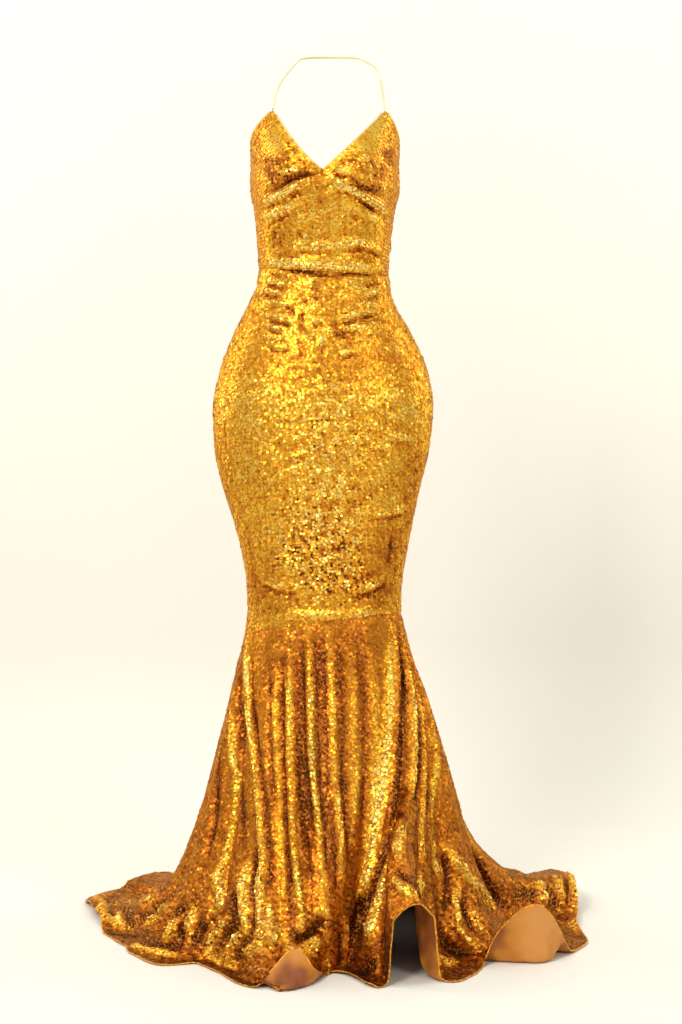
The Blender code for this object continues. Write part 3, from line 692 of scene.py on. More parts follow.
# Each panel's name, the angles it runs between, the edges above and below, its flat size and area,
# its seed, and its seams.
BODICE_PANELS = (
    ("cup_right", -SIDE_SEAM, V_POINT_ANGLE, top_edge, underbust, (0.175, 0.145), 0.0110, 11,
     {"start": SOFT_DIP, "foot": SEAM_DIP}),
    ("cup_left", V_POINT_ANGLE, SIDE_SEAM, top_edge, underbust, (0.175, 0.186), 0.0140, 12,
     {"end": SOFT_DIP, "foot": SEAM_DIP}),
    ("bodice_front", -SIDE_SEAM, SIDE_SEAM, underbust, waist, (0.280, 0.167), 0.0325, 13,
     {"start": SOFT_DIP, "end": SOFT_DIP, "top": SEAM_DIP, "foot": SEAM_DIP}),
    ("bodice_back", SIDE_SEAM, 360 - SIDE_SEAM, top_edge, waist, (0.540, 0.267), 0.0605, 14,
     {"start": SOFT_DIP, "end": SOFT_DIP, "foot": SEAM_DIP}),
)
for name, start, end, high, low, flat, area, seed, seams in BODICE_PANELS:
    turns = even_turns(figure, low, start, end, CLOTH_STEP)
    lay_panel(name, BODICE, turns, body_levels(turns, high, low), seams, seed)

# ---- The skirt ----------------------------------------------------------------------------------
# The close skirt, from the waist seam over the hips to the knee: a front and two backs, seamed at
# the sides and the centre back. It is pulled tight, with puckers below the waist.

KNEE_SEAM_HEIGHT, KNEE_SEAM_TILT, KNEE_SEAM_FRONT_RISE = 0.530, 0.018, 0.015


def knee_seam(angle):
    """The height of the seam between the skirt and the flare."""
    turn = np.radians(angle)
    return KNEE_SEAM_HEIGHT + KNEE_SEAM_TILT * np.sin(turn) + KNEE_SEAM_FRONT_RISE * np.cos(turn)


SKIRT_CREASES = creases(
    (-5.0, 3.2, (-60, 1.134), (-30, 1.128), (-11, 1.124), (0, 1.119), (10, 1.119), (24, 1.123), (56, 1.124)),
    (2.6, 3.6, (-61, 1.136), (-43.2, 1.129), (-30.8, 1.123)),
    (-3.0, 3.4, (-54.5, 1.124), (-44.2, 1.119), (-38.8, 1.114)),
    (3.6, 3.6, (-57.8, 1.112), (-46.2, 1.108), (-35.8, 1.104)),
    (-3.8, 3.2, (-60.5, 1.104), (-46.8, 1.103), (-32.2, 1.096)),
    (3.0, 3.4, (-64.8, 1.098), (-47.5, 1.094), (-34.5, 1.088)),
    (-3.8, 3.2, (-64.2, 1.09), (-51.5, 1.088), (-41, 1.083), (-33.5, 1.077)),
    (3.4, 3.6, (-46.5, 1.078), (-36.2, 1.073), (-27, 1.072)),
    (-3.4, 3.2, (-28.5, 1.068), (-23.2, 1.062), (-19.2, 1.055)),
    (3.8, 3.8, (-44, 1.055), (-34.8, 1.051), (-25.2, 1.048), (-21, 1.045)),
    (-4.6, 3.4, (-41.5, 1.045), (-31.5, 1.04), (-26.2, 1.038), (-20.5, 1.034)),
    (3.6, 3.4, (-39.2, 1.036), (-30.5, 1.032), (-24.5, 1.028)),
    (-3.6, 3.0, (-38.8, 1.03), (-32.2, 1.024), (-26, 1.022)),
    (3.4, 3.4, (-39, 1.02), (-33.2, 1.016), (-26.5, 1.014)),
    (-3.0, 3.0, (-32.8, 1.012), (-27.8, 1.009), (-25, 1.011)),
    (3.2, 3.4, (-33, 1.004), (-27, 0.998), (-23.2, 0.994)),
    (-3.0, 3.2, (-34.8, 0.999), (-27.2, 0.992), (-20.2, 0.993)),
    (-2.8, 3.4, (-17, 1.09), (-13.2, 1.08), (-10.5, 1.071)),
    (-3.2, 3.4, (-14.5, 1.06), (-13.8, 1.041), (-12.8, 1.023)),
    (-2.6, 3.6, (-13.8, 1.014), (-12, 0.996), (-11, 0.975)),
    (2.6, 4.0, (-9.8, 1.038), (-6.5, 1.016), (-3.8, 0.996)),
    (3.2, 4.6, (-0.2, 1.023), (-0.2, 1.012), (-1.8, 0.997)),
    (-3.6, 3.4, (0.2, 1.007), (0, 0.996), (-0.2, 0.984)),
    (3.4, 3.4, (13.5, 1.049), (19.2, 1.051), (28.8, 1.057), (42.2, 1.06)),
    (-4.6, 3.4, (12.8, 1.04), (20, 1.041), (26.8, 1.048), (35.2, 1.051), (46.5, 1.053)),
    (3.4, 3.6, (13, 1.03), (19.8, 1.032), (27.5, 1.036)),
    (-3.2, 3.0, (11, 1.023), (14.8, 1.023), (20, 1.024), (23.2, 1.028)),
    (-3.4, 3.0, (10.8, 1.016), (15, 1.015), (18.8, 1.017)),
    (3.4, 3.6, (10.8, 0.986), (13.5, 0.992), (17.2, 0.996)),
    (-3.0, 3.0, (11.2, 0.98), (14.5, 0.984), (18, 0.986)),
    (-3.0, 3.4, (9.2, 1.041), (9.5, 1.031), (9.5, 1.014)),
    (-2.6, 3.0, (13.5, 1.06), (16.5, 1.055), (19, 1.055)),
    (-2.6, 3.2, (23.8, 1.068), (26, 1.063), (30.5, 1.068)),
    (3.2, 3.4, (39.8, 1.086), (44, 1.09), (54.2, 1.096)),
    (-3.2, 3.0, (38.8, 1.08), (45, 1.083), (55.5, 1.089)),
    (2.8, 3.4, (31.5, 1.068), (39, 1.07), (48.2, 1.073)),
    (-2.4, 3.4, (39.5, 1.108), (40.2, 1.101), (53, 1.105)),
    (2.6, 3.4, (20.8, 1.107), (28, 1.108), (36, 1.112)),
    (-2.6, 3.0, (-9.5, 1.098), (-4.5, 1.096), (0.8, 1.094)),
    (2.8, 3.4, (-9, 1.089), (-3.5, 1.088), (1.5, 1.088)),
    (-2.2, 3.0, (-8.8, 1.083), (-3.8, 1.081), (0.5, 1.08)),
    (2.8, 3.6, (-6.8, 1.043), (-3, 1.044), (0.2, 1.045)),
    (-2.8, 3.0, (-5.2, 1.036), (-2.2, 1.036), (0.8, 1.036)),
    (2.4, 3.6, (2, 1.032), (4.8, 1.023), (5, 1.012)),
    (2.0, 4.0, (34, 0.850), (46, 0.848), (56, 0.850)),
    (-1.8, 3.4, (36, 0.842), (48, 0.840), (58, 0.841)),
    (-1.8, 3.4, (50, 0.944), (58, 0.946), (68, 0.950)),
    (3.0, 4.2, (30, 0.722), (44, 0.724), (60, 0.729)),
    (-2.6, 3.6, (32, 0.713), (46, 0.715), (60, 0.720)),
    (-2.0, 6.0, (50, 0.700), (52, 0.660), (50, 0.620)),
    (1.8, 6.0, (-50, 0.690), (-52, 0.650), (-50, 0.610)),
    (2.2, 7.0, (-56, 0.620), (-40, 0.604), (-22, 0.600)),
    (-2.2, 6.0, (-54, 0.606), (-38, 0.592), (-20, 0.588)),
    (2.6, 7.0, (52, 0.624), (36, 0.602), (16, 0.594)),
    (-2.4, 6.0, (54, 0.608), (38, 0.588), (18, 0.582)),
    (2.6, 5.5, (-54, 0.548), (-30, 0.553), (-8, 0.556), (16, 0.557), (40, 0.556), (58, 0.552)),
    (2.4, 5.0, (84, 1.116), (112, 1.106), (140, 1.103), (166, 1.108)),
    (-2.6, 4.2, (88, 1.104), (116, 1.094), (144, 1.091)),
    (2.2, 4.8, (96, 1.093), (122, 1.082), (148, 1.080)),
    (-2.2, 4.2, (102, 1.080), (126, 1.071), (150, 1.069)),
    (2.4, 5.0, (196, 1.104), (224, 1.100), (252, 1.106), (276, 1.117)),
    (-2.6, 4.2, (198, 1.092), (226, 1.088), (256, 1.095)),
    (2.2, 4.8, (202, 1.080), (228, 1.076), (254, 1.084)),
    (-2.2, 4.2, (204, 1.068), (230, 1.065), (252, 1.073)),
    (-3.4, 8.0, (150, 0.800), (166, 0.788), (180, 0.784), (194, 0.788), (210, 0.800)),
    (3.0, 9.0, (142, 0.772), (164, 0.760), (184, 0.757), (206, 0.765), (220, 0.777)),
    (-2.6, 8.0, (130, 0.700), (156, 0.690), (180, 0.688), (204, 0.692), (228, 0.702)),
    (2.8, 8.0, (120, 0.640), (150, 0.622), (180, 0.616), (210, 0.622), (240, 0.640)),
    (-2.6, 7.0, (124, 0.622), (152, 0.604), (180, 0.599), (208, 0.604), (236, 0.622)),
    (2.2, 8.0, (96, 0.660), (104, 0.630), (100, 0.598)),
    (2.2, 8.0, (264, 0.660), (256, 0.630), (260, 0.598)),
)
SKIRT_PATCHES = (
    Patch(-28, 0.980, 0.060, 0.030, -0.06, -0.4),
    Patch(30, 0.975, 0.070, 0.030, -0.08, -0.3),
    Patch(0, 0.905, 0.110, 0.040, 0.05, 0.0),
    Patch(-34, 0.880, 0.040, 0.030, 0.09, 0.2),
    Patch(6, 0.862, 0.060, 0.045, 0.06, 0.6),
    Patch(-2, 1.030, 0.045, 0.045, -0.08, 0.0),
    Patch(-6, 0.955, 0.075, 0.026, -0.08, 0.0),
    Patch(-60, 0.900, 0.050, 0.060, 0.09, 0.0),
    Patch(54, 0.895, 0.050, 0.050, 0.10, 0.0),
    Patch(4, 0.775, 0.060, 0.035, 0.12, 0.5),
    Patch(0, 0.700, 0.060, 0.042, 0.11, 1.3),
    Patch(6, 0.630, 0.052, 0.036, 0.07, 1.5),
    Patch(-22, 0.660, 0.032, 0.036, 0.04, 0.7),
    Patch(38, 0.650, 0.040, 0.060, -0.12, -0.2),
    Patch(-45, 0.600, 0.040, 0.030, -0.12, -0.1),
    Patch(30, 0.600, 0.050, 0.022, -0.12, 0.2),
    Patch(-74, 0.760, 0.018, 0.120, -0.12, -0.1),
    Patch(66, 0.740, 0.018, 0.140, -0.16, 0.0),
    Patch(-56, 0.640, 0.026, 0.060, -0.14, -0.1),
    Patch(52, 0.640, 0.022, 0.080, -0.14, -0.1),
)

SKIRT = Look(
    figure, SKIRT_CREASES, SKIRT_PATCHES, waves=(0.0007, 0.055, 0.035), tone=body_tone,
    differ=0.062, tilt=0.095, ridge_tone=0.36, trough_tone=0.54)
SKIRT_PANELS = (
    ("skirt_front", -SIDE_SEAM, SIDE_SEAM, (0.340, 0.630), 0.1710, 21),
    ("skirt_back_left", SIDE_SEAM, 180.0, (0.297, 0.630), 0.1510, 22),
    ("skirt_back_right", 180.0, 360 - SIDE_SEAM, (0.297, 0.650), 0.1580, 23),
)
SKIRT_STEP, HIP_HEIGHT = 0.0052, 0.900
for name, start, end, flat, area, seed in SKIRT_PANELS:
    turns = even_turns(figure, lambda turns: HIP_HEIGHT + 0 * turns, start, end, SKIRT_STEP)
    seams = {"start": SOFT_DIP, "end": SOFT_DIP, "top": SEAM_DIP}
    levels = body_levels(turns, waist, knee_seam)
    lay_panel(name, SKIRT, turns, levels, seams, seed)

# ---- The flare ----------------------------------------------------------------------------------
# A flounce in five gores, seamed to the skirt at the knee. Its cloth falls in long pipe folds that
# drift round towards the side, lift in one arch, turn up into two lips, and crumple on the floor.

BACK_GORE_SEAM = 103.0
DRIFT_POWER, HOLD_POWER = 1.4, 4
LIFT_FROM, LIFT_FULL, LIFT_PAST, SPREAD_FROM = 0.35, 0.85, 0.25, 0.72
ARCH_FLATNESS, ARCH_ROUNDNESS, LIP_FROM = 0.2, 0.25, 0.86

# The flare falls from the knee seam (fall 0) to the hem (fall 1): its height and its reach from the
# neck's axis to each side, and how much of each fold's full depth it has there.
Level = namedtuple("Level", "fall height front right left back fold")
LEVELS = (
    Level(0.00, 0.530, 0.100, 0.141, 0.125, 0.092, 0.00),
    Level(0.12, 0.462, 0.111, 0.155, 0.142, 0.107, 0.16),
    Level(0.24, 0.400, 0.126, 0.168, 0.166, 0.128, 0.28),
    Level(0.38, 0.314, 0.148, 0.188, 0.191, 0.162, 0.42),
    Level(0.52, 0.229, 0.177, 0.206, 0.214, 0.205, 0.58),
    Level(0.68, 0.127, 0.217, 0.235, 0.241, 0.265, 0.78),
    Level(0.80, 0.050, 0.256, 0.270, 0.279, 0.325, 0.92),
    Level(0.87, 0.010, 0.286, 0.310, 0.318, 0.380, 1.00),
    Level(0.92, 0.003, 0.302, 0.350, 0.362, 0.440, 0.75),
    Level(1.00, 0.003, 0.322, 0.388, 0.428, 0.540, 0.35),
)

# The folds, going round: the angle of each at the knee seam and at the hem, half its width at the
# hem in degrees, how far it stands out (a groove is negative), and how far it lifts the hem.
Fold = namedtuple("Fold", "seam hem half_width rise lift")
FOLDS = (
    Fold(-99.0, -103.0, 9.0, 0.022, 0.012),
    Fold(-86.0, -84.0, 9.0, -0.022, 0.000),
    Fold(-74.0, -66.0, 8.0, 0.020, 0.000),
    Fold(-62.0, -47.0, 10.0, -0.026, 0.000),
    Fold(-45.0, -18.0, 13.0, 0.026, 0.000),
    Fold(-26.0, -8.0, 5.0, 0.013, 0.000),
    Fold(-13.0, -2.0, 3.5, 0.008, 0.000),
    Fold(2.0, 1.5, 3.0, 0.006, 0.000),
    Fold(57.0, 5.5, 5.0, -0.045, 0.004),
    Fold(64.0, 10.5, 5.0, 0.022, 0.000),
    Fold(71.0, 18.2, 6.6, 0.012, 0.126),
    Fold(78.0, 26.0, 6.5, 0.014, 0.000),
    Fold(86.0, 42.0, 9.0, -0.024, 0.000),
    Fold(94.0, 60.0, 12.0, 0.008, 0.000),
    Fold(101.0, 81.0, 8.0, 0.010, 0.000),
    Fold(108.0, 95.0, 8.0, -0.022, 0.000),
    Fold(118.0, 115.0, 13.0, 0.026, 0.042),
    Fold(131.0, 131.0, 12.0, 0.016, 0.000),
    Fold(143.0, 144.0, 7.0, -0.030, 0.000),
    Fold(154.0, 154.0, 10.0, 0.034, 0.026),
    Fold(167.0, 166.0, 7.0, -0.030, 0.000),
    Fold(181.0, 181.0, 12.0, 0.034, 0.022),
    Fold(194.0, 195.0, 7.0, -0.026, 0.000),
    Fold(207.0, 208.0, 11.0, 0.030, 0.024),
    Fold(220.0, 221.0, 7.0, -0.022, 0.000),
    Fold(231.0, 230.0, 8.0, 0.018, 0.014),
    Fold(241.0, 241.0, 9.0, -0.010, 0.000),
    Fold(251.0, 250.0, 7.0, -0.014, 0.000),
)

# How much further than its oval the hem spreads over the floor, in millimetres by the angle at the
# hem.
Reach = namedtuple("Reach", "hem spread")
REACHES = tuple(Reach(hem, spread / 1000) for hem, spread in (
    (-98, 10), (-84, -12), (-71.5, -36), (-58, -24), (-48, -10), (-41, -62), (-30, -36), (-17, 18),
    (-10, 34), (-4, 18), (0.5, -75), (4.5, -45), (9.5, 14), (13, 4), (18.2, 12), (23, 0), (27, 14),
    (33, -6), (44, -42), (53, 2), (66, 6), (77, 10), (90, 4), (100, 13), (117, 46), (130, 70),
    (141, 105), (148, 60), (156, 95), (167, 35), (181, 50), (195, 35), (208, 60), (221, 42), (230, 50),
    (247, 92), (255, 40),
))

# Where the hem turns up into a lip that shows its inner face: the angle at the hem, how far it goes
# before and after that in degrees, how high the lip's edge stands, and how far out it leans.
Lip = namedtuple("Lip", "hem before after rise lean")
LIPS = (
    Lip(-8.0, 8.5, 8.5, 0.050, -0.050),
    Lip(52.0, 12.5, 17.0, 0.094, -0.006),
)
Drift = namedtuple("Drift", "seam hem")
DRIFT = [Drift(fold.seam + turn, fold.hem + turn) for turn in (-360, 0, 360) for fold in FOLDS]
OUTLINE = [Reach(at.hem + turn, at.spread) for turn in (-360, 0, 360) for at in REACHES]


def round_from(angle, centre):
    """How far an angle is from another, the short way round."""
    return (angle - centre + 180) % 360 - 180


def flare(angle, fall):
    """Places on the outer face of the line of cloth that leaves the knee seam at an angle."""
    hem = curve(DRIFT, "hem", angle)
    turn = np.radians(angle + (hem - angle) * (1 - (1 - np.clip(fall, 0, 1)) ** DRIFT_POWER))
    start = np.radians(angle)
    near_seam = (1 - fall) ** HOLD_POWER
    turned_up = ease(LIP_FROM, 1, fall)
    lips = []
    for lip in LIPS:
        away = round_from(hem, lip.hem)
        away = np.clip(away / np.where(away < 0, lip.before, lip.after), -1, 1)
        lips.append(0.5 + 0.5 * np.cos(math.pi * away))
    fall = np.minimum(fall / (1 + (LIP_FROM - 1) * np.maximum(*lips)), 1)
    left, right = curve(LEVELS, "left", fall), curve(LEVELS, "right", fall)
    front, back = curve(LEVELS, "front", fall), curve(LEVELS, "back", fall)
    x = np.where(np.sin(turn) > 0, left, right) * np.sin(turn)
    y = -np.where(np.cos(turn) > 0, front, back) * np.cos(turn)
    seam = figure(angle, knee_seam(angle))
    reach = np.where(np.sin(start) > 0, LEVELS[0].left, LEVELS[0].right)
    x = x + (seam[..., 0] - reach * np.sin(start)) * near_seam
    reach = np.where(np.cos(start) > 0, LEVELS[0].front, LEVELS[0].back)
    y = y + (seam[..., 1] - NECK_AXIS_Y + reach * np.cos(start)) * near_seam
    height = curve(LEVELS, "height", fall) + (knee_seam(angle) - KNEE_SEAM_HEIGHT) * near_seam
    deep, spreads = curve(LEVELS, "fold", fall), ease(SPREAD_FROM, 1.0, fall)
    lifts = ease(LIFT_FROM, LIFT_FULL, fall) * (1 + LIFT_PAST) - ease(LIFT_FULL, 1, fall) * LIFT_PAST
    stands = curve(OUTLINE, "spread", hem) * spreads
    for fold in FOLDS:
        away = np.clip(round_from(hem, fold.hem) / fold.half_width, -1, 1)
        share = 0.5 + 0.5 * np.cos(math.pi * away)
        stands = stands + share * fold.rise * deep
        arch = ease(0, ARCH_FLATNESS, share) * (1 - ARCH_ROUNDNESS) + share * ARCH_ROUNDNESS
        height = height + arch * fold.lift * lifts
    for lip, share in zip(LIPS, lips):
        stands = stands + share * lip.lean * turned_up
        height = height + share * lip.rise * turned_up
    x, y = x + np.sin(turn) * stands, y - np.cos(turn) * stands
    return np.stack((x, NECK_AXIS_Y + y, height - NAPE_HEIGHT), -1)


# The smaller folds of the flare, as an angle at the knee seam and a share of the fall. The first ones
# are the narrow ridges of the front; then the heap on the floor at the right; then the sides and back.
FLARE_CREASES = creases(
    (6.0, 6.0, (-72, 0.01), (-66, 0.10), (-62, 0.19), (-55, 0.30), (-50.5, 0.41), (-48, 0.52), (-46.8, 0.60),
     (-46, 0.68)),
    (-5.0, 6.0, (-68, 0.02), (-60, 0.14), (-56, 0.24), (-50, 0.34), (-46, 0.44), (-43, 0.60), (-42, 0.72)),
    (-4.2, 7.0, (-76, 0.06), (-70, 0.18), (-62, 0.34), (-57, 0.50), (-54, 0.62)),
    (4.6, 6.0, (-74, 0.22), (-68, 0.34), (-63.8, 0.42), (-63, 0.52), (-64, 0.62), (-65, 0.72)),
    (-4.0, 5.5, (-78, 0.24), (-73, 0.40), (-70, 0.55), (-70, 0.70)),
    (3.6, 5.5, (-84, 0.20), (-80, 0.40), (-77, 0.56), (-76, 0.70)),
    (5.0, 6.2, (-27, 0.10), (-26.2, 0.16), (-27, 0.30), (-26.8, 0.46), (-24, 0.56), (-21.5, 0.66),
     (-20, 0.76)),
    (-4.2, 6.0, (-31, 0.05), (-32, 0.18), (-31, 0.32), (-30, 0.46), (-27, 0.58), (-24.5, 0.70)),
    (-4.0, 6.0, (-21, 0.06), (-21.5, 0.20), (-21, 0.38), (-19, 0.52), (-16.5, 0.66)),
    (3.0, 5.5, (-38, 0.12), (-38, 0.26), (-36, 0.42), (-34, 0.56), (-32, 0.70)),
    (-3.0, 5.5, (-42, 0.08), (-42, 0.22), (-41, 0.36), (-39, 0.52)),
    (5.8, 5.8, (-11.5, 0.02), (-12, 0.12), (-13.5, 0.30), (-12, 0.42), (-10.2, 0.50), (-7.5, 0.60),
     (-5.2, 0.68), (-4, 0.80)),
    (-5.8, 5.4, (-7, 0.0), (-7, 0.10), (-8.5, 0.26), (-8.5, 0.40), (-6, 0.52), (-3, 0.64), (-1, 0.76)),
    (-4.4, 5.6, (-16.5, 0.02), (-17.5, 0.16), (-18, 0.32), (-16, 0.46), (-13, 0.58)),
    (5.2, 5.6, (3.5, 0.03), (3.6, 0.14), (3.6, 0.28), (4, 0.42), (8, 0.50), (12, 0.56), (16, 0.66),
     (18, 0.76)),
    (-4.8, 5.6, (-2, 0.01), (-1.5, 0.12), (-2, 0.26), (-1, 0.40), (3, 0.52), (7, 0.62), (9, 0.72)),
    (-4.2, 6.0, (9, 0.02), (10, 0.16), (10.5, 0.30), (13, 0.44), (18, 0.54), (22, 0.64)),
    (3.4, 6.0, (18, 0.06), (20, 0.20), (23, 0.34), (27, 0.46), (32, 0.58)),
    (-3.4, 6.5, (27, 0.04), (30, 0.18), (34, 0.32), (38, 0.46), (42, 0.58)),
    (3.4, 6.0, (38, 0.10), (42, 0.22), (47, 0.36), (50, 0.50), (52, 0.64)),
    (8.5, 8.5, (60, 0.04), (59, 0.15), (59, 0.33), (59.2, 0.54), (59.6, 0.70), (52, 0.77), (45, 0.82)),
    (-11.0, 7.0, (70, 0.02), (70.2, 0.14), (65, 0.24), (62.6, 0.33), (62.4, 0.56), (61.6, 0.69), (55, 0.76),
     (47, 0.82)),
    (5.6, 5.8, (76, 0.06), (74.8, 0.18), (73, 0.32), (72.2, 0.45), (72, 0.58)),
    (-4.4, 5.5, (80, 0.04), (79, 0.18), (77, 0.34), (75.6, 0.48), (75, 0.60)),
    (4.6, 5.5, (84, 0.16), (81, 0.32), (78, 0.46), (76.6, 0.56), (80.2, 0.66)),
    (-4.6, 5.5, (88, 0.12), (85, 0.28), (82, 0.44), (80.5, 0.56)),
    (4.0, 5.5, (92, 0.20), (89, 0.36), (86, 0.50), (85, 0.64)),
    (11.9, 9.0, (-51.2, 0.621), (-54, 0.679), (-52.8, 0.728), (-51.2, 0.768), (-50.2, 0.796)),
    (-14.0, 8.4, (-49.2, 0.594), (-50.2, 0.673), (-49, 0.719), (-49, 0.771), (-51, 0.81)),
    (10.5, 8.7, (-46, 0.614), (-47, 0.667), (-46.8, 0.734), (-46.8, 0.769), (-45.8, 0.801)),
    (-6.0, 5.0, (-44.5, 0.636), (-45, 0.681), (-45, 0.722), (-45.2, 0.75)),
    (8.4, 8.0, (-42.2, 0.702), (-43.5, 0.753), (-42.8, 0.789)),
    (9.8, 8.7, (-64.8, 0.654), (-64.5, 0.698), (-62.8, 0.732), (-61.2, 0.765)),
    (-9.8, 8.7, (-57, 0.696), (-56.2, 0.732), (-55.5, 0.767)),
    (13.3, 7.5, (-56.8, 0.768), (-61.2, 0.81), (-62.8, 0.837)),
    (-13.3, 7.0, (-58.5, 0.822), (-56.2, 0.792), (-54.5, 0.772)),
    (12.6, 7.2, (-53.2, 0.793), (-54.8, 0.821), (-56, 0.834)),
    (-11.2, 7.2, (-49.8, 0.816), (-52.5, 0.836), (-54, 0.849)),
    (11.2, 7.2, (-44.5, 0.796), (-47.8, 0.815), (-50.8, 0.827)),
    (11.2, 8.4, (-62.2, 0.849), (-59, 0.879), (-54.8, 0.87), (-51.5, 0.872)),
    (-11.2, 7.2, (-65, 0.789), (-65.5, 0.818), (-65.5, 0.84)),
    (11.9, 7.2, (-69.2, 0.767), (-68.8, 0.799), (-68, 0.828)),
    (-11.9, 6.5, (-70.5, 0.789), (-70.2, 0.818), (-69, 0.842)),
    (11.9, 7.0, (-72.8, 0.787), (-72.5, 0.828), (-72.8, 0.854)),
    (-11.2, 6.5, (-72.2, 0.758), (-73, 0.775), (-76, 0.801)),
    (12.6, 7.2, (-90.8, 0.802), (-93, 0.843), (-91.5, 0.879)),
    (-14.0, 7.0, (-93.8, 0.824), (-93.8, 0.852), (-93.8, 0.876)),
    (9.8, 8.0, (-96.2, 0.825), (-100, 0.843), (-120, 0.921)),
    (9.8, 7.2, (-118.5, 0.986), (-101.8, 0.939), (-93.5, 0.992)),
    (-9.8, 6.5, (-118, 0.956), (-98.8, 0.916), (-93.2, 0.956)),
    (9.8, 7.2, (-117.5, 0.925), (-95, 0.918), (-91.2, 0.928)),
    (-11.2, 7.2, (-103.5, 0.884), (-94.8, 0.898), (-92.8, 0.904)),
    (9.8, 8.0, (-78.5, 0.983), (-73.5, 0.907), (-67.5, 0.912), (-65.5, 0.876)),
    (-9.8, 7.2, (-85.8, 0.906), (-76.8, 0.878), (-70.5, 0.866), (-67.2, 0.851)),
    (11.2, 8.7, (-33.8, 0.699), (-39.8, 0.767), (-42.2, 0.795)),
    (-13.3, 8.0, (-25.8, 0.666), (-17.8, 0.713), (-3.5, 0.764)),
    (11.2, 8.7, (-28.5, 0.678), (-20.5, 0.722), (-9, 0.807)),
    (6.0, 6.0, (-24.8, 0.648), (-16.8, 0.708), (-1.5, 0.744)),
    (12.6, 10.9, (63.5, 0.499), (62, 0.597), (62.5, 0.702), (61.8, 0.765), (61.2, 0.822)),
    (-15.4, 10.1, (71, 0.669), (62.2, 0.573), (61.8, 0.633), (61, 0.702), (58.8, 0.765), (49.8, 0.815)),
    (8.4, 7.2, (71.5, 0.719), (70, 0.775), (69.5, 0.821)),
    (9.1, 7.0, (68.8, 0.851), (70.2, 0.91), (71.8, 0.953)),
    (-8.4, 6.5, (69.2, 0.845), (71, 0.885), (75.5, 0.876)),
    (7.7, 7.0, (75.5, 0.808), (77, 0.669), (79, 0.69)),
    (6.5, 5.0, (82.2, 0.562), (86, 0.611), (86.2, 0.642), (87.2, 0.652)),
    (-6.5, 5.5, (87.8, 0.579), (88.5, 0.606), (87.8, 0.676), (87.2, 0.726)),
    (8.5, 5.5, (90, 0.609), (88.5, 0.664), (88.5, 0.699), (88.2, 0.74), (89, 0.743), (90, 0.728)),
    (-7.0, 4.5, (90.8, 0.617), (89.5, 0.661), (89.8, 0.692), (90.2, 0.71)),
    (6.0, 4.5, (91, 0.654), (90.8, 0.687), (90.8, 0.707)),
    (9.8, 8.0, (88.8, 0.55), (92, 0.579), (95.8, 0.698), (99, 0.756), (100, 0.787)),
    (-11.2, 8.0, (113.2, 0.729), (112.8, 0.775), (112.2, 0.811), (112.2, 0.843)),
    (9.8, 7.2, (116, 0.916), (113, 0.928), (112.5, 0.938)),
    (-10.5, 6.5, (115.5, 0.931), (113, 0.944), (112.2, 0.953)),
    (9.1, 6.5, (119, 0.96), (113.8, 0.963), (112.5, 0.971)),
    (-8.4, 5.8, (117, 0.975), (113, 0.981), (112.2, 0.99)),
    (9.8, 7.2, (119.2, 0.999), (113, 0.995), (110.2, 0.999), (103, 0.993)),
    (-11.2, 10.1, (112.8, 0.873), (113.5, 0.896), (113, 0.912)),
    (8.4, 7.2, (78.8, 0.816), (82.2, 0.863), (85.8, 0.924)),
    (-8.4, 6.5, (84.2, 0.807), (87, 0.811), (88.8, 0.78)),
    (-7.0, 7.2, (59.5, 0.96), (61.5, 0.861), (63.5, 0.836)),
    (8.0, 7.5, (-90, 0.90), (-93, 0.94), (-95, 0.98)),
    (-8.0, 7.0, (-86, 0.92), (-88, 0.96), (-89, 0.99)),
    (7.0, 7.5, (-36, 0.86), (-32, 0.89), (-28, 0.91), (-23, 0.93)),
    (6.0, 7.0, (-9, 0.82), (-7, 0.88), (-9, 0.94)),
    (6.0, 7.0, (24, 0.74), (30, 0.80), (34, 0.86), (34, 0.92)),
    (-6.0, 6.5, (20, 0.78), (25, 0.84), (28, 0.90)),
    (9.0, 8.0, (126, 0.90), (130, 0.93), (134, 0.97)),
    (-8.0, 7.0, (122, 0.88), (125, 0.93), (127, 0.98)),
)
# The ridges and troughs of the back gores: the angle of each, and the least and most of where it starts
# and ends, how far it stands out, how far it bends, and half its width.
BACK_FOLD_RIDGES = (104, 113, 125, 137, 149, 160, 172, 186, 199, 213, 226, 235, 246, 256)
RIDGE_TOPS, RIDGE_FEET, RIDGE_RISES = (0.03, 0.22), (0.82, 0.97), (0.004, 0.007)
RIDGE_BENDS, RIDGE_HALF_WIDTHS, FOOT_BEND = (-1.5, 1.5), (0.006, 0.009), 0.4
BACK_TROUGH_TURN, BACK_TROUGH_SHARE, BACK_TROUGH_HALF_WIDTH = 5.2, -0.7, 0.006
FLARE_PATCHES = (
    Patch(8, 0.10, 0.050, 0.060, -0.10, 0.1),
    Patch(30, 0.10, 0.050, 0.060, -0.10, 0.0),
    Patch(-30, 0.07, 0.035, 0.040, -0.08, 0.0),
    Patch(-66, 0.10, 0.014, 0.070, 0.22, -0.5),
    Patch(59, 0.45, 0.022, 0.140, 0.14, 0.3),
    Patch(66, 0.50, 0.016, 0.200, -0.14, 0.0),
    Patch(82, 0.45, 0.060, 0.150, -0.06, 0.0),
    Patch(-60, 0.80, 0.060, 0.050, 0.10, 0.5),
    Patch(114, 0.93, 0.050, 0.040, 0.14, 0.5),
    Patch(-93, 0.90, 0.050, 0.050, 0.12, 0.5),
)


def flare_tone(places):
    """The flare's sequins show deeper than the skirt's, and deepest and most broken low down."""
    level = places[:, 2]
    deep = 0.06 * ease(-0.97, -1.08, level) + 0.07 * ease(-1.15, -1.38, level)
    deep += 0.12 * ease(-1.38, -1.47, level)
    broken = 0.055 + 0.100 * ease(-1.32, -1.44, level)
    return 0.450 - deep + broken * clouds(places, 0.009, 8) + 0.045 * clouds(places, 0.030, 9)


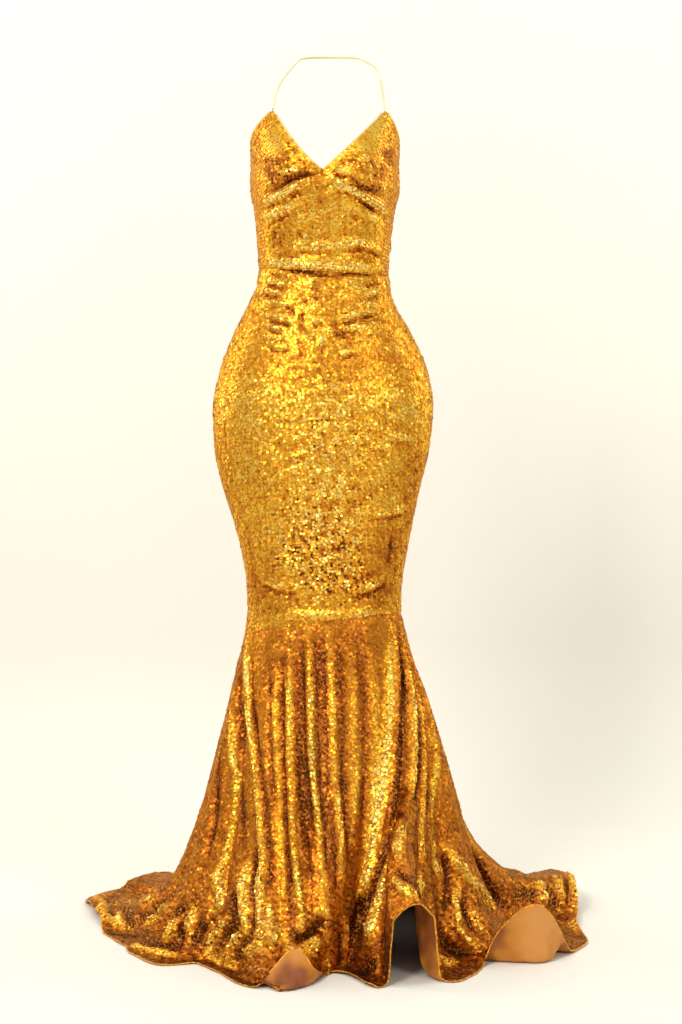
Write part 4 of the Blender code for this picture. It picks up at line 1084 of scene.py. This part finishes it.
def back_creases(draw):
    """Long soft ridges and troughs down the gores of the back, each of its own length and depth."""
    made = []
    for k, ridge in enumerate(BACK_FOLD_RIDGES):
        top, foot = draw.uniform(*RIDGE_TOPS), draw.uniform(*RIDGE_FEET)
        rise = draw.uniform(*RIDGE_RISES) * (1 if k % 2 else -1)
        bend = draw.uniform(*RIDGE_BENDS)
        path = ((ridge, top), (ridge + bend, (top + foot) / 2), (ridge + FOOT_BEND * bend, foot))
        made.append(Crease(rise, draw.uniform(*RIDGE_HALF_WIDTHS), path))
        trough = tuple((turn + BACK_TROUGH_TURN, fall) for turn, fall in path)
        made.append(Crease(BACK_TROUGH_SHARE * rise, BACK_TROUGH_HALF_WIDTH, trough))
    return tuple(made)


FLARE_CREASES += back_creases(np.random.default_rng(31))
FLARE_STEP, FLARE_MIDDLE, FLARE_ROWS, ROW_CROWDING = 0.0060, 0.72, 104, 0.96
FLARE = Look(
    flare, FLARE_CREASES, FLARE_PATCHES, waves=(0.0011, 0.034, 0.110), tone=flare_tone,
    differ=0.040, tilt=0.090, ridge_tone=0.38, trough_tone=0.34)
GORES = (
    ("flare_front", -SIDE_SEAM, SIDE_SEAM, (0.560, 0.700), 0.204, 31),
    ("flare_side_left", SIDE_SEAM, BACK_GORE_SEAM, (0.885, 0.772), 0.217, 32),
    ("flare_back_left", BACK_GORE_SEAM, 180.0, (1.015, 0.845), 0.382, 33),
    ("flare_back_right", 180.0, 360 - BACK_GORE_SEAM, (0.724, 0.799), 0.300, 34),
    ("flare_side_right", 360 - BACK_GORE_SEAM, 360 - SIDE_SEAM, (0.430, 0.669), 0.137, 35),
)
hem_line, hem_out = [], []
for name, start, end, flat, area, seed in GORES:
    turns = even_turns(flare, lambda turns: FLARE_MIDDLE + 0 * turns, start, end, FLARE_STEP)
    levels = np.ones(len(turns))[:, None] * np.linspace(0, 1, FLARE_ROWS) ** ROW_CROWDING
    seams = {"start": SOFT_DIP, "end": SOFT_DIP, "top": SOFT_DIP}
    cloth, out = lay_panel(name, FLARE, turns, levels, seams, seed)
    hem_line.append(cloth[:-1, -1])
    hem_out.append(out[:-1, -1])

# ---- The rolled hem -----------------------------------------------------------------------------
# The flare's edge, turned over twice and stitched with bright thread, all round the hem.

HEM_RADIUS = 0.0013
STITCHED_HEM, shader, add, link = new_finish("stitched_hem", 0.38, 0.45)
cells = texture(add, link, "ShaderNodeTexVoronoi", Scale=340.0)
stitches = ranged(add, link, cells.outputs["Color"], 0.30, 0.80)
link(golden(add, link, stitches), shader.inputs["Base Color"])
raised(add, link, shader, cells.outputs["Distance"], 0.6, 0.0005)


def tube(name, line, side, width, depth, finish, closed, around=8):
    """A rounded tape along a line. side is the direction of its width at each place."""
    along = np.roll(line, -1, 0) - np.roll(line, 1, 0) if closed else np.gradient(line, axis=0)
    along /= np.linalg.norm(along, axis=1, keepdims=True)
    side = side - along * (side * along).sum(1, keepdims=True)
    side /= np.linalg.norm(side, axis=1, keepdims=True)
    face = np.cross(along, side)
    turns = np.arange(around) * 2 * math.pi / around
    ring = side[:, None] * (np.cos(turns)[:, None] * width) + face[:, None] * (np.sin(turns)[:, None] * depth)
    points = (line[:, None] + ring).reshape(-1, 3)
    count = len(line)
    i, j = np.meshgrid(np.arange(count if closed else count - 1), np.arange(around), indexing="ij")
    a, b = i * around + j, i * around + (j + 1) % around
    after = (i + 1) % count
    squares = np.stack((a, after * around + j, after * around + (j + 1) % around, b), -1).reshape(-1, 4)
    corners, sizes = squares.ravel(), np.full(len(squares), 4)
    if not closed:
        ends = np.concatenate((np.arange(around)[::-1], (count - 1) * around + np.arange(around)))
        corners, sizes = np.append(corners, ends), np.append(sizes, (around, around))
    piece = new_piece(name, points, corners, sizes, (finish,))
    run = np.append(0, np.cumsum(np.linalg.norm(np.diff(line, axis=0), axis=1)))
    tape_map = piece.data.uv_layers.new(name="cloth")
    which = np.empty(len(piece.data.loops), np.int32)
    piece.data.loops.foreach_get("vertex_index", which)
    spots = np.stack((run[which // around], (which % around) * width * FULL_TURN / around), 1)
    tape_map.data.foreach_set("uv", spots.astype(np.float32).ravel())
    piece.data.shade_smooth()
    return piece


hem_line, hem_out = np.concatenate(hem_line), np.concatenate(hem_out)
hem_middle = hem_line - hem_out * CLOTH_WALL / 2
hem = tube("rolled_hem", hem_middle, hem_out, HEM_RADIUS, HEM_RADIUS, STITCHED_HEM, True)
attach(hem, "root")

# ---- The bindings -------------------------------------------------------------------------------
# Narrow pale-gold satin bindings, folded over the raw edge and stitched down: one along the V, and
# one round the armholes and the low back.

BINDING_WIDTH, BINDING_DEPTH, BINDING_STEP = 0.0019, 0.0013, 0.003
EDGE_GAP, EDGE_STEP, STRAP_CLEAR_TURN = 0.0003, 0.006, 3.0


def satin(name, pale, deep, roughness):
    """A satin weave that follows the tape's own map."""
    finish, shader, add, link = new_finish(name, roughness, 0.0)
    shader.inputs["Sheen Weight"].default_value = 0.4
    shader.inputs["Specular IOR Level"].default_value = 0.6
    cloud = texture(add, link, "ShaderNodeTexNoise", Scale=60.0, Detail=3.0)
    tones = ramped(add, link, cloud.outputs["Fac"], ((0.32, deep), (0.68, pale)))
    raised(add, link, shader, woven(add, link, shader, tones, 9000, 5000), 0.4, 0.0003)
    return finish


BINDING_SATIN = satin("binding_satin", (0.93, 0.74, 0.34), (0.84, 0.58, 0.20), 0.42)


def binding(name, start, end):
    """A binding along the top edge between two angles."""
    turns = even_turns(figure, top_edge, start, end, BINDING_STEP)
    line, inside = figure(turns, top_edge(turns)), figure(turns, top_edge(turns) - EDGE_STEP)
    along = np.gradient(line, axis=0)
    along /= np.linalg.norm(along, axis=1, keepdims=True)
    out = line - inside
    out -= along * (out * along).sum(1, keepdims=True)
    out /= np.linalg.norm(out, axis=1, keepdims=True)
    face = np.cross(along, out)
    face *= np.sign((face * (line * (1, 1, 0) - (0, NECK_AXIS_Y, 0))).sum(1, keepdims=True))
    line = line + out * (BINDING_DEPTH + EDGE_GAP) - face * CLOTH_WALL / 2
    piece = tube(name + "_tape", line, out, BINDING_WIDTH, BINDING_DEPTH, BINDING_SATIN, False)
    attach(piece, "root")
    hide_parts(name)


binding("neckline_binding", RIGHT_APEX_ANGLE + STRAP_CLEAR_TURN, LEFT_APEX_ANGLE - STRAP_CLEAR_TURN)
binding("back_binding", LEFT_APEX_ANGLE + STRAP_CLEAR_TURN, 360 + RIGHT_APEX_ANGLE - STRAP_CLEAR_TURN)

# ---- The halter strap ---------------------------------------------------------------------------
# One thin rouleau of pale satin, turned right side out and sewn into the peak of each cup. It runs up
# and round the nape, where the gown hangs.

STRAP_RADIUS, STRAP_FLATNESS, STRAP_ROOT_RISE, STRAP_ROOT_SET = 0.0022, 0.8, 0.001, 0.0008
STRAP_ROUTE = (
    (-0.0860, -0.040, 1.436),
    (-0.0720, -0.022, 1.462),
    (-0.0560, 0.002, 1.484),
    (-0.0470, 0.027, 1.494),
    (-0.0270, 0.048, 1.499),
    (0.0000, 0.055, 1.500),
    (0.0280, 0.048, 1.499),
    (0.0500, 0.027, 1.495),
    (0.0610, 0.002, 1.487),
    (0.0780, -0.020, 1.474),
    (0.0870, -0.040, 1.450),
)
STRAP_SATIN = satin("strap_satin", (0.95, 0.86, 0.52), (0.88, 0.74, 0.36), 0.45)

roots = [figure(np.array(turn), np.array(APEX_HEIGHT)) + (0, STRAP_ROOT_SET, STRAP_ROOT_RISE)
         for turn in (RIGHT_APEX_ANGLE, LEFT_APEX_ANGLE)]
route = [roots[0], *((x, NECK_AXIS_Y + y, height - NAPE_HEIGHT) for x, y, height in STRAP_ROUTE), roots[1]]
route = np.array(route, float)
before, after = np.vstack((route[:1], route[:-1])), np.vstack((route[1:], route[-1:]))
smooth = []
for i in range(len(route) - 1):
    t = np.linspace(0, 1, 12, endpoint=False)[:, None]
    start_run, end_run = (route[i + 1] - before[i]) / 2, (after[i + 1] - route[i]) / 2
    smooth.append((2 * t**3 - 3 * t**2 + 1) * route[i] + (3 * t**2 - 2 * t**3) * route[i + 1]
                  + (t**3 - 2 * t**2 + t) * start_run + (t**3 - t**2) * end_run)
smooth = np.concatenate((*smooth, route[-1:]))
sideways = np.tile((0.0, 0.0, 1.0), (len(smooth), 1)) + (0.3, -0.5, 0)
strap_depth = STRAP_RADIUS * STRAP_FLATNESS
strap = tube("halter_strap_rouleau", smooth, sideways, STRAP_RADIUS, strap_depth, STRAP_SATIN, False, 12)
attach(strap, "root")
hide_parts("halter_strap")

# ---- The floor, the backdrop, the lights and the camera -----------------------------------------
# A plain pale floor that curves up into a pale wall close behind the gown, and soft studio light. The
# wall is see-through from behind, so that the back of the gown can be looked at.

FLOOR_HALF_WIDTH, FLOOR_FRONT, WALL_PLACE, WALL_TOP = 4.5, -7.0, 1.15, 4.0
CURVE_RADIUS, CURVE_STEPS = 0.35, 12
profile = [(FLOOR_FRONT, 0.0)]
for step in range(CURVE_STEPS + 1):
    turn = math.radians(90 * step / CURVE_STEPS)
    back, up = math.sin(turn) - 1, 1 - math.cos(turn)
    profile.append((WALL_PLACE + CURVE_RADIUS * back, CURVE_RADIUS * up))
profile.append((WALL_PLACE, WALL_TOP))
points = [(x, y, z - NAPE_HEIGHT) for x in (-FLOOR_HALF_WIDTH, FLOOR_HALF_WIDTH) for y, z in profile]
corners = [(i, i + len(profile), i + len(profile) + 1, i + 1) for i in range(len(profile) - 1)]
PALE_PAPER, shader, add, link = new_finish("pale_paper", 0.85, 0.0)
cloud = texture(add, link, "ShaderNodeTexNoise", Scale=1.6, Detail=2.0)
papers = ramped(add, link, cloud.outputs["Fac"], ((0, (0.80, 0.79, 0.72)), (1, (0.85, 0.84, 0.77))))
link(papers, shader.inputs["Base Color"])
side, clear = add("ShaderNodeNewGeometry"), add("ShaderNodeBsdfTransparent")
either = add("ShaderNodeMixShader")
link(side.outputs["Backfacing"], either.inputs["Fac"])
link(shader.outputs["BSDF"], either.inputs[1])
link(clear.outputs["BSDF"], either.inputs[2])
link(either.outputs["Shader"], PALE_PAPER.node_tree.nodes["Material Output"].inputs["Surface"])
backdrop = new_piece("backdrop", points, np.ravel(corners), np.full(len(corners), 4), (PALE_PAPER,))
backdrop.data.shade_smooth()


def softbox(name, place, aim, width, height, watts, colour):
    """A large soft light that faces a place."""
    data = bpy.data.lights.new(name, "AREA")
    data.shape, data.size, data.size_y, data.energy, data.color = "RECTANGLE", width, height, watts, colour
    lamp = bpy.data.objects.new(name, data)
    bpy.context.scene.collection.objects.link(lamp)
    lamp.location = place
    lamp.rotation_euler = (Vector(aim) - Vector(place)).to_track_quat("-Z", "Y").to_euler()


softbox("key", (-1.6, -3.2, 1.5), (0, 0, -0.6), 0.9, 1.2, 78, (1.0, 0.96, 0.90))
softbox("fill", (2.2, -3.0, 0.8), (0, 0, -0.8), 0.9, 1.6, 30, (1.0, 0.97, 0.92))
softbox("top", (0.0, -0.6, 2.2), (0, 0, -0.6), 2.0, 1.2, 32, (1.0, 0.98, 0.95))
softbox("rim_left", (2.0, 0.4, 0.3), (0, 0, -0.6), 0.5, 1.8, 12, (1.0, 0.95, 0.90))
softbox("rim_right", (-2.0, 0.4, 0.3), (0, 0, -0.6), 0.5, 1.8, 15, (1.0, 0.95, 0.90))

world = bpy.data.worlds.new("studio")
world.use_nodes = True
world.node_tree.nodes["Background"].inputs["Color"].default_value = (1.0, 0.985, 0.95, 1)
world.node_tree.nodes["Background"].inputs["Strength"].default_value = 0.46
bpy.context.scene.world = world

CAMERA_PLACE, LENS, DOWNWARD_SHIFT = (0.0204, -4.055, -0.5), 82.6, -0.161
camera_data = bpy.data.cameras.new("camera")
camera_data.lens, camera_data.shift_y = LENS, DOWNWARD_SHIFT
camera = bpy.data.objects.new("camera", camera_data)
bpy.context.scene.collection.objects.link(camera)
camera.location = CAMERA_PLACE
camera.rotation_euler = (math.radians(90), 0, 0)
bpy.context.scene.camera = camera
bpy.context.scene.view_settings.view_transform = "Standard"
